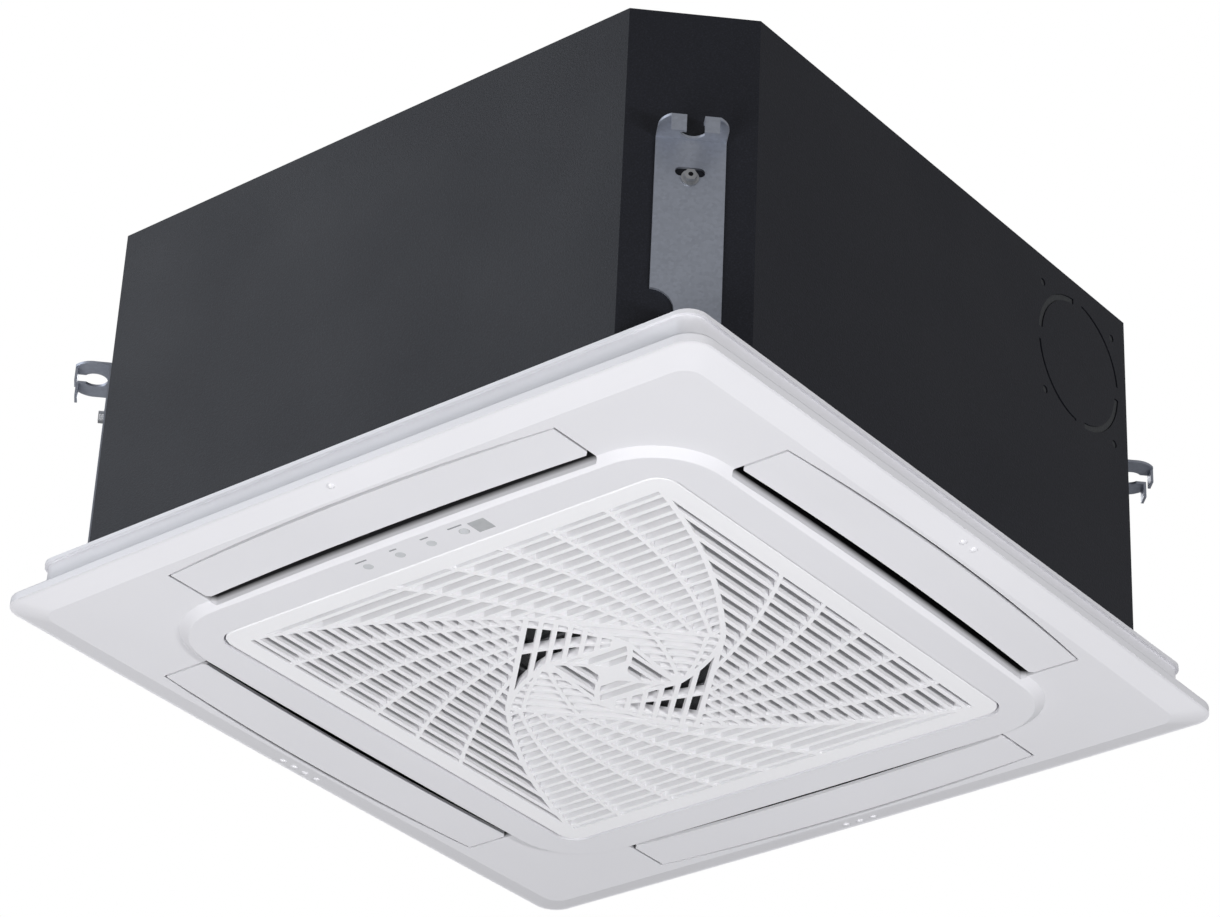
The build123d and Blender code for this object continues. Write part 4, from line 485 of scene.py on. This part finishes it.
def woven_mesh(name, colour, pitch=0.0016):
    """Filter cloth: crossed threads with dark holes between them."""
    material, tree, shader = new_finish(name, {})
    place = object_place(tree)
    weave = reckoned(tree, "MAXIMUM", *bands(tree, place, pitch))
    coloured(tree, shader, weave, (0.55, tinted(colour, 0.25)), (0.9, colour))
    uneven(tree, shader, noise(tree, place, 50.0), low=0.7, high=0.85)
    relief(tree, shader, weave, depth=0.0003, strength=0.8)
    return material


def fin_stack(name, colour, pitch=0.0014):
    """Edges of thin upright fins, seen as stripes along both runs of the coil: the stripes across
    Y take the place of those across X as the surface turns to face along X."""
    material, tree, shader = new_finish(name, {"Metallic": 0.9})
    place = object_place(tree)
    facing = tree.nodes.new("ShaderNodeNewGeometry").outputs["Normal"]
    share = reckoned(tree, "ABSOLUTE", separated(tree, facing)["X"])
    stripes = mixed(tree, "Float", share, *bands(tree, place, pitch))
    coloured(tree, shader, stripes, (0.35, tinted(colour, 0.25)), (0.75, colour))
    uneven(tree, shader, noise(tree, place, 30.0), low=0.35, high=0.5)
    relief(tree, shader, stripes, depth=0.0005, strength=0.8)
    return material


def rubber(name, colour):
    """Matt rubber with a faint bloom."""
    material, tree, shader = new_finish(name, {})
    place = object_place(tree)
    coloured(tree, shader, noise(tree, place, 45.0, detail=4.0),
             (0.35, colour), (0.7, tinted(colour, 1.5)))
    uneven(tree, shader, noise(tree, place, 150.0), low=0.7, high=0.88)
    relief(tree, shader, noise(tree, place, 1100.0), depth=0.00005, strength=0.5)
    return material


def circuit_board(name, colour):
    """Solder-masked board with copper tracks under the lacquer."""
    material, tree, shader = new_finish(name, {})
    place = object_place(tree)
    tracks = new_node(tree, "TexBrick", {
        "Vector": place, "Scale": 220.0, "Mortar Size": 0.03, "Color1": (*tinted(colour, 0.8), 1.0),
        "Color2": (*colour, 1.0), "Mortar": (*tinted(colour, 1.9), 1.0)})
    feed(tree, shader.inputs["Base Color"], tracks.outputs["Color"])
    uneven(tree, shader, noise(tree, place, 60.0), low=0.25, high=0.4)
    relief(tree, shader, tracks.outputs["Fac"], depth=0.00006, strength=0.6)
    return material


def tinted_lens(name, colour):
    """Smoked plastic lens: smooth, with faint flow marks."""
    material, tree, shader = new_finish(name, {"Coat Weight": 0.4})
    place = object_place(tree)
    coloured(tree, shader, noise(tree, place, 120.0),
             (0.3, tinted(colour, 0.93)), (0.7, tinted(colour, 1.05)))
    uneven(tree, shader, noise(tree, place, 300.0), low=0.16, high=0.26)
    return material


def dress(material, *names):
    """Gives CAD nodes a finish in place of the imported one."""
    for name in names:
        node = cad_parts[name]
        node.data.materials.clear()
        node.data.materials.append(material)


def numbered(stem, count):
    """Names of pieces that differ in their number only."""
    return [f"{stem}_{number}" for number in range(1, count + 1)]


# ------------------------------------------------------------------ operators
class CASSETTE_OT_fascia(bpy.types.Operator):
    """Finishes the fascia panel, its louvres and the latches"""

    bl_idname = "cassette.fascia"
    bl_label = "Fascia and louvres"

    def execute(self, context):
        colour = tuple(looks().panel_white)
        # The fascia's air ways get painted shade that turns nearly black deep inside.
        dress(air_way_shade(moulded_plastic("fascia_plastic", colour, roughness=0.36)), "fascia_panel")
        dress(moulded_plastic("louvre_plastic", tinted(colour, 1.01), roughness=0.33),
              *numbered("louvre", 4))
        dress(moulded_plastic("latch_plastic", tinted(colour, 0.95), roughness=0.4),
              *numbered("grille_latch", 2), *numbered("louvre_shaft", 4), "pivot_bushes")
        dress(bead_foam("seal_foam", (0.07, 0.07, 0.075), bead=0.0012), "intake_seal")
        dress(turned_metal("bright_zinc", (0.55, 0.56, 0.58), roughness=0.34),
              "panel_screws", "hinge_pins", *numbered("louvre_motor", 4))
        return {"FINISHED"}


class CASSETTE_OT_grille(bpy.types.Operator):
    """Finishes the intake grille and the air filter behind it"""

    bl_idname = "cassette.grille"
    bl_label = "Intake grille"

    def execute(self, context):
        colour = tuple(looks().grille_white)
        dress(moulded_plastic("grille_plastic", colour, roughness=0.48), "intake_grille")
        dress(moulded_plastic("filter_plastic", (0.05, 0.052, 0.056), roughness=0.5),
              "filter_frame")
        dress(woven_mesh("filter_cloth", (0.03, 0.031, 0.034)), "filter_mesh")
        return {"FINISHED"}


class CASSETTE_OT_display(bpy.types.Operator):
    """Finishes the display strip and adds its plain printed bars"""

    bl_idname = "cassette.display"
    bl_label = "Display strip"

    def execute(self, context):
        colour = tuple(looks().lens_grey)
        dress(tinted_lens("receiver_window", tinted(colour, 0.92)), "display_window")
        dress(tinted_lens("lamp_lens", tinted(colour, 1.2)), "lamp_lenses")
        dress(tinted_lens("button_grey", tinted(colour, 1.25)), "manual_button")
        dress(circuit_board("board_lacquer", (0.02, 0.10, 0.045)),
              "display_board", "control_board")
        shapes = []
        for middle, half_length in PRINTED_BARS:
            points, faces = pill(half_length, BAR_HALF_HEIGHT, BAR_TOP, BAR_FOOT, BAR_STEPS)
            shapes.append(((points + (middle, BAR_ROW, 0.0)) * MM, faces))
        bars = gathered("printed_bars", shapes, smooth=False)
        ink = moulded_plastic("grey_print", (0.30, 0.31, 0.33), roughness=0.5)
        bars.data.materials.append(ink)
        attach(bars, "unit")
        return {"FINISHED"}


class CASSETTE_OT_dots(bpy.types.Operator):
    """Adds the moulded dots that number the four air outlets"""

    bl_idname = "cassette.dots"
    bl_label = "Outlet dots"

    def execute(self, context):
        size = sizes()
        # The dome's edge is a quarter of an ellipse: at the height rise * dot_height its radius is
        # dot_radius * sqrt(1 - rise squared * DOME_SHARE).
        rise = np.linspace(0.0, 1.0, DOME_RINGS)
        radii = size.dot_radius * np.sqrt(1.0 - rise ** 2 * DOME_SHARE)
        radii = np.concatenate([[size.dot_radius * FOOT_SPREAD], radii])
        levels = np.concatenate([[FOOT_LEVEL], rise * size.dot_height])
        dome, faces = turned(radii, levels, DOME_STEPS)
        rim_normal = (0.0, -RIM_SLOPE, -1.0)
        shapes = []
        for number, turn in enumerate(SIDE_TURNS, start=1):
            for step in range(number):
                along = (step - (number - 1) / 2) * size.dot_pitch
                bow = RIM_BOW * (1.0 - (along / RIM_HALF) ** 2)
                level = RIM_LEVEL + RIM_RISE * (size.dot_reach - RIM_START - bow) / RIM_WIDTH
                spot = placed(dome, (along, -size.dot_reach, level), rim_normal, (1, 0, 0))
                shapes.append((spot @ side_turn(turn).T, faces))
        dots = gathered("outlet_dots", shapes)
        plastic = moulded_plastic("dot_plastic", tuple(looks().panel_white), roughness=0.28)
        dots.data.materials.append(plastic)
        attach(dots, "unit")
        return {"FINISHED"}


class CASSETTE_OT_casing(bpy.types.Operator):
    """Finishes the casing, its hanger brackets and what passes through its walls"""

    bl_idname = "cassette.casing"
    bl_label = "Casing and hangers"

    def execute(self, context):
        look = looks()
        dress(textured_paint("casing_paint", tuple(look.casing_black), look.paint_grain),
              "casing_shell", "pipe_plate")
        dress(galvanised_steel("galvanised_sheet", tuple(look.zinc_grey), look.spangle),
              *numbered("hanger_bracket", 4), "coil_end_plates", "control_box", "control_box_cover")
        # The hanger screws get painted shade where their recess lies.
        dress(screw_with_recess_shade("plated_screw", (0.56, 0.57, 0.59), level=0.173, radius=0.0017),
              "hanger_screws")
        # The drain pan gets the same painted shade where it lies above the air ways.
        dress(air_way_shade(bead_foam("pan_foam", (0.72, 0.72, 0.70))), "drain_pan")
        dress(bead_foam("liner_foam", (0.05, 0.052, 0.055)), "foam_liner")
        dress(rubber("black_rubber", (0.022, 0.022, 0.022)),
              "wiring_grommet", "drain_plug", "motor_mounts", "drain_hose")
        dress(moulded_plastic("drain_plastic", (0.55, 0.55, 0.53), roughness=0.4), "drain_socket")
        return {"FINISHED"}


class CASSETTE_OT_inside(bpy.types.Operator):
    """Finishes the coil, the fan, the pump and the control box"""

    bl_idname = "cassette.inside"
    bl_label = "Inner pieces"

    def execute(self, context):
        dress(fin_stack("coil_fin_edges", (0.62, 0.66, 0.72)), "coil_fins")
        dress(turned_metal("bare_copper", (0.62, 0.27, 0.15), roughness=0.32),
              "coil_return_bends", "liquid_pipe", "gas_pipe")
        dress(turned_metal("bare_brass", (0.62, 0.45, 0.18), roughness=0.3), "flare_nuts")
        dress(moulded_plastic("fan_plastic", (0.045, 0.045, 0.05), roughness=0.45),
              "fan_impeller", "bell_mouth")
        dress(moulded_plastic("pump_plastic", (0.09, 0.09, 0.10), roughness=0.5),
              "drain_pump", "float_switch", "float", "terminal_block", "fan_capacitor")
        dress(turned_metal("motor_can", (0.42, 0.43, 0.45), roughness=0.4), "fan_motor")
        dress(turned_metal("bright_steel", (0.56, 0.56, 0.57), roughness=0.3),
              "motor_shaft", "fan_nut", "motor_bolts")
        return {"FINISHED"}


class CASSETTE_OT_stage(bpy.types.Operator):
    """Sets the floor, the room, the lamps and the camera"""

    bl_idname = "cassette.stage"
    bl_label = "Stage"

    def execute(self, context):
        stage = context.scene.cassette_stage
        self.floor(stage)
        self.room(context.scene, stage)
        for name, *shape in LAMPS:
            self.lamp(f"{name}_lamp", getattr(stage, f"{name}_power"), *shape)
        self.camera(context.scene, stage)
        context.scene.view_settings.view_transform = "Standard"
        return {"FINISHED"}

    @staticmethod
    def floor(stage):
        """Pale floor that the camera sees lighter than its light alone would make it."""
        sides = ((-1, -1), (1, -1), (1, 1), (-1, 1))
        corners = [(x * FLOOR_HALF, y * FLOOR_HALF, stage.floor_level) for x, y in sides]
        floor = mesh_piece("stage_floor", np.array(corners), [(0, 1, 2, 3)], smooth=False)
        material, tree, shader = new_finish("pale_floor", {
            "Base Color": (0.86, 0.86, 0.86, 1.0), "Roughness": 0.9,
            "Emission Color": (*WHITE, 1.0)})
        seen = tree.nodes.new("ShaderNodeLightPath").outputs["Is Camera Ray"]
        feed(tree, shader.inputs["Emission Strength"],
             reckoned(tree, "MULTIPLY", seen, FLOOR_GLOW))
        floor.data.materials.append(material)

    @staticmethod
    def room(scene, stage):
        """Even room light: white to the camera, light grey in mirrors and through glass."""
        world = bpy.data.worlds.new("room")
        world.use_nodes = True
        tree = world.node_tree
        tree.nodes.clear()
        lit, mirrored, seen = (
            new_node(tree, "Background", {"Color": (*colour, 1.0), "Strength": strength})
            for colour, strength in (
                (ROOM_TINT, stage.room), (WHITE, MIRRORED_ROOM), (WHITE, 1.0)))
        ray = tree.nodes.new("ShaderNodeLightPath").outputs
        bent = reckoned(tree, "MAXIMUM", ray["Is Glossy Ray"], ray["Is Transmission Ray"])
        unseen = mixed_light(tree, bent, lit, mirrored)
        whole = mixed_light(tree, ray["Is Camera Ray"], unseen, seen)
        new_node(tree, "OutputWorld", {"Surface": whole.outputs[0]})
        scene.world = world

    @staticmethod
    def lamp(name, power, place, target, width, height, colour):
        """Soft lamp at place, aimed at target."""
        data = bpy.data.lights.new(name, "AREA")
        data.shape = "RECTANGLE"
        data.size = width
        data.size_y = height
        data.energy = power
        data.color = colour
        lamp = bpy.data.objects.new(name, data)
        bpy.context.scene.collection.objects.link(lamp)
        lamp.location = place
        # A lamp that is not square is the low one, and smooth plastic would only mirror it.
        lamp.visible_glossy = height == width
        lamp.rotation_euler = (Vector(target) - Vector(place)).to_track_quat("-Z", "Y").to_euler()

    @staticmethod
    def camera(scene, stage):
        """Camera that sees the unit as the photograph does."""
        data = bpy.data.cameras.new("photo_camera")
        data.sensor_width = SENSOR_WIDTH
        data.lens = stage.lens
        data.shift_x, data.shift_y = LENS_SHIFT
        camera = bpy.data.objects.new("photo_camera", data)
        scene.collection.objects.link(camera)
        camera.location = stage.camera_place
        camera.rotation_euler = stage.camera_turn
        scene.camera = camera


class CASSETTE_PT_pieces(bpy.types.Panel):
    """Lists the pieces of the cassette"""

    bl_idname = "CASSETTE_PT_pieces"
    bl_label = "Ceiling cassette"
    bl_space_type = "VIEW_3D"
    bl_region_type = "UI"
    bl_category = "Cassette"

    def draw(self, context):
        scene = context.scene
        for operator in OPERATORS:
            self.layout.operator(operator.bl_idname)
        for group in (scene.cassette_looks, scene.cassette_sizes, scene.cassette_stage):
            box = self.layout.box()
            for name in group.__annotations__:
                box.prop(group, name)


OPERATORS = (
    CASSETTE_OT_fascia,
    CASSETTE_OT_grille,
    CASSETTE_OT_display,
    CASSETTE_OT_dots,
    CASSETTE_OT_casing,
    CASSETTE_OT_inside,
    CASSETTE_OT_stage,
)
CLASSES = (CassetteLooks, CassetteSizes, CassetteStage, *OPERATORS, CASSETTE_PT_pieces)


def register():
    """Adds the classes and the three groups of settings."""
    for entry in CLASSES:
        bpy.utils.register_class(entry)
    bpy.types.Scene.cassette_looks = bpy.props.PointerProperty(type=CassetteLooks)
    bpy.types.Scene.cassette_sizes = bpy.props.PointerProperty(type=CassetteSizes)
    bpy.types.Scene.cassette_stage = bpy.props.PointerProperty(type=CassetteStage)


def unregister():
    """Takes them away again."""
    del bpy.types.Scene.cassette_stage
    del bpy.types.Scene.cassette_sizes
    del bpy.types.Scene.cassette_looks
    for entry in reversed(CLASSES):
        bpy.utils.unregister_class(entry)


def main():
    """Registers the classes, then runs every operator in turn."""
    register()
    for operator in OPERATORS:
        group, name = operator.bl_idname.split(".")
        result = getattr(getattr(bpy.ops, group), name)()
        if result != {"FINISHED"}:
            raise RuntimeError(f"{operator.bl_label} did not finish")


if __name__ == "__main__":
    main()
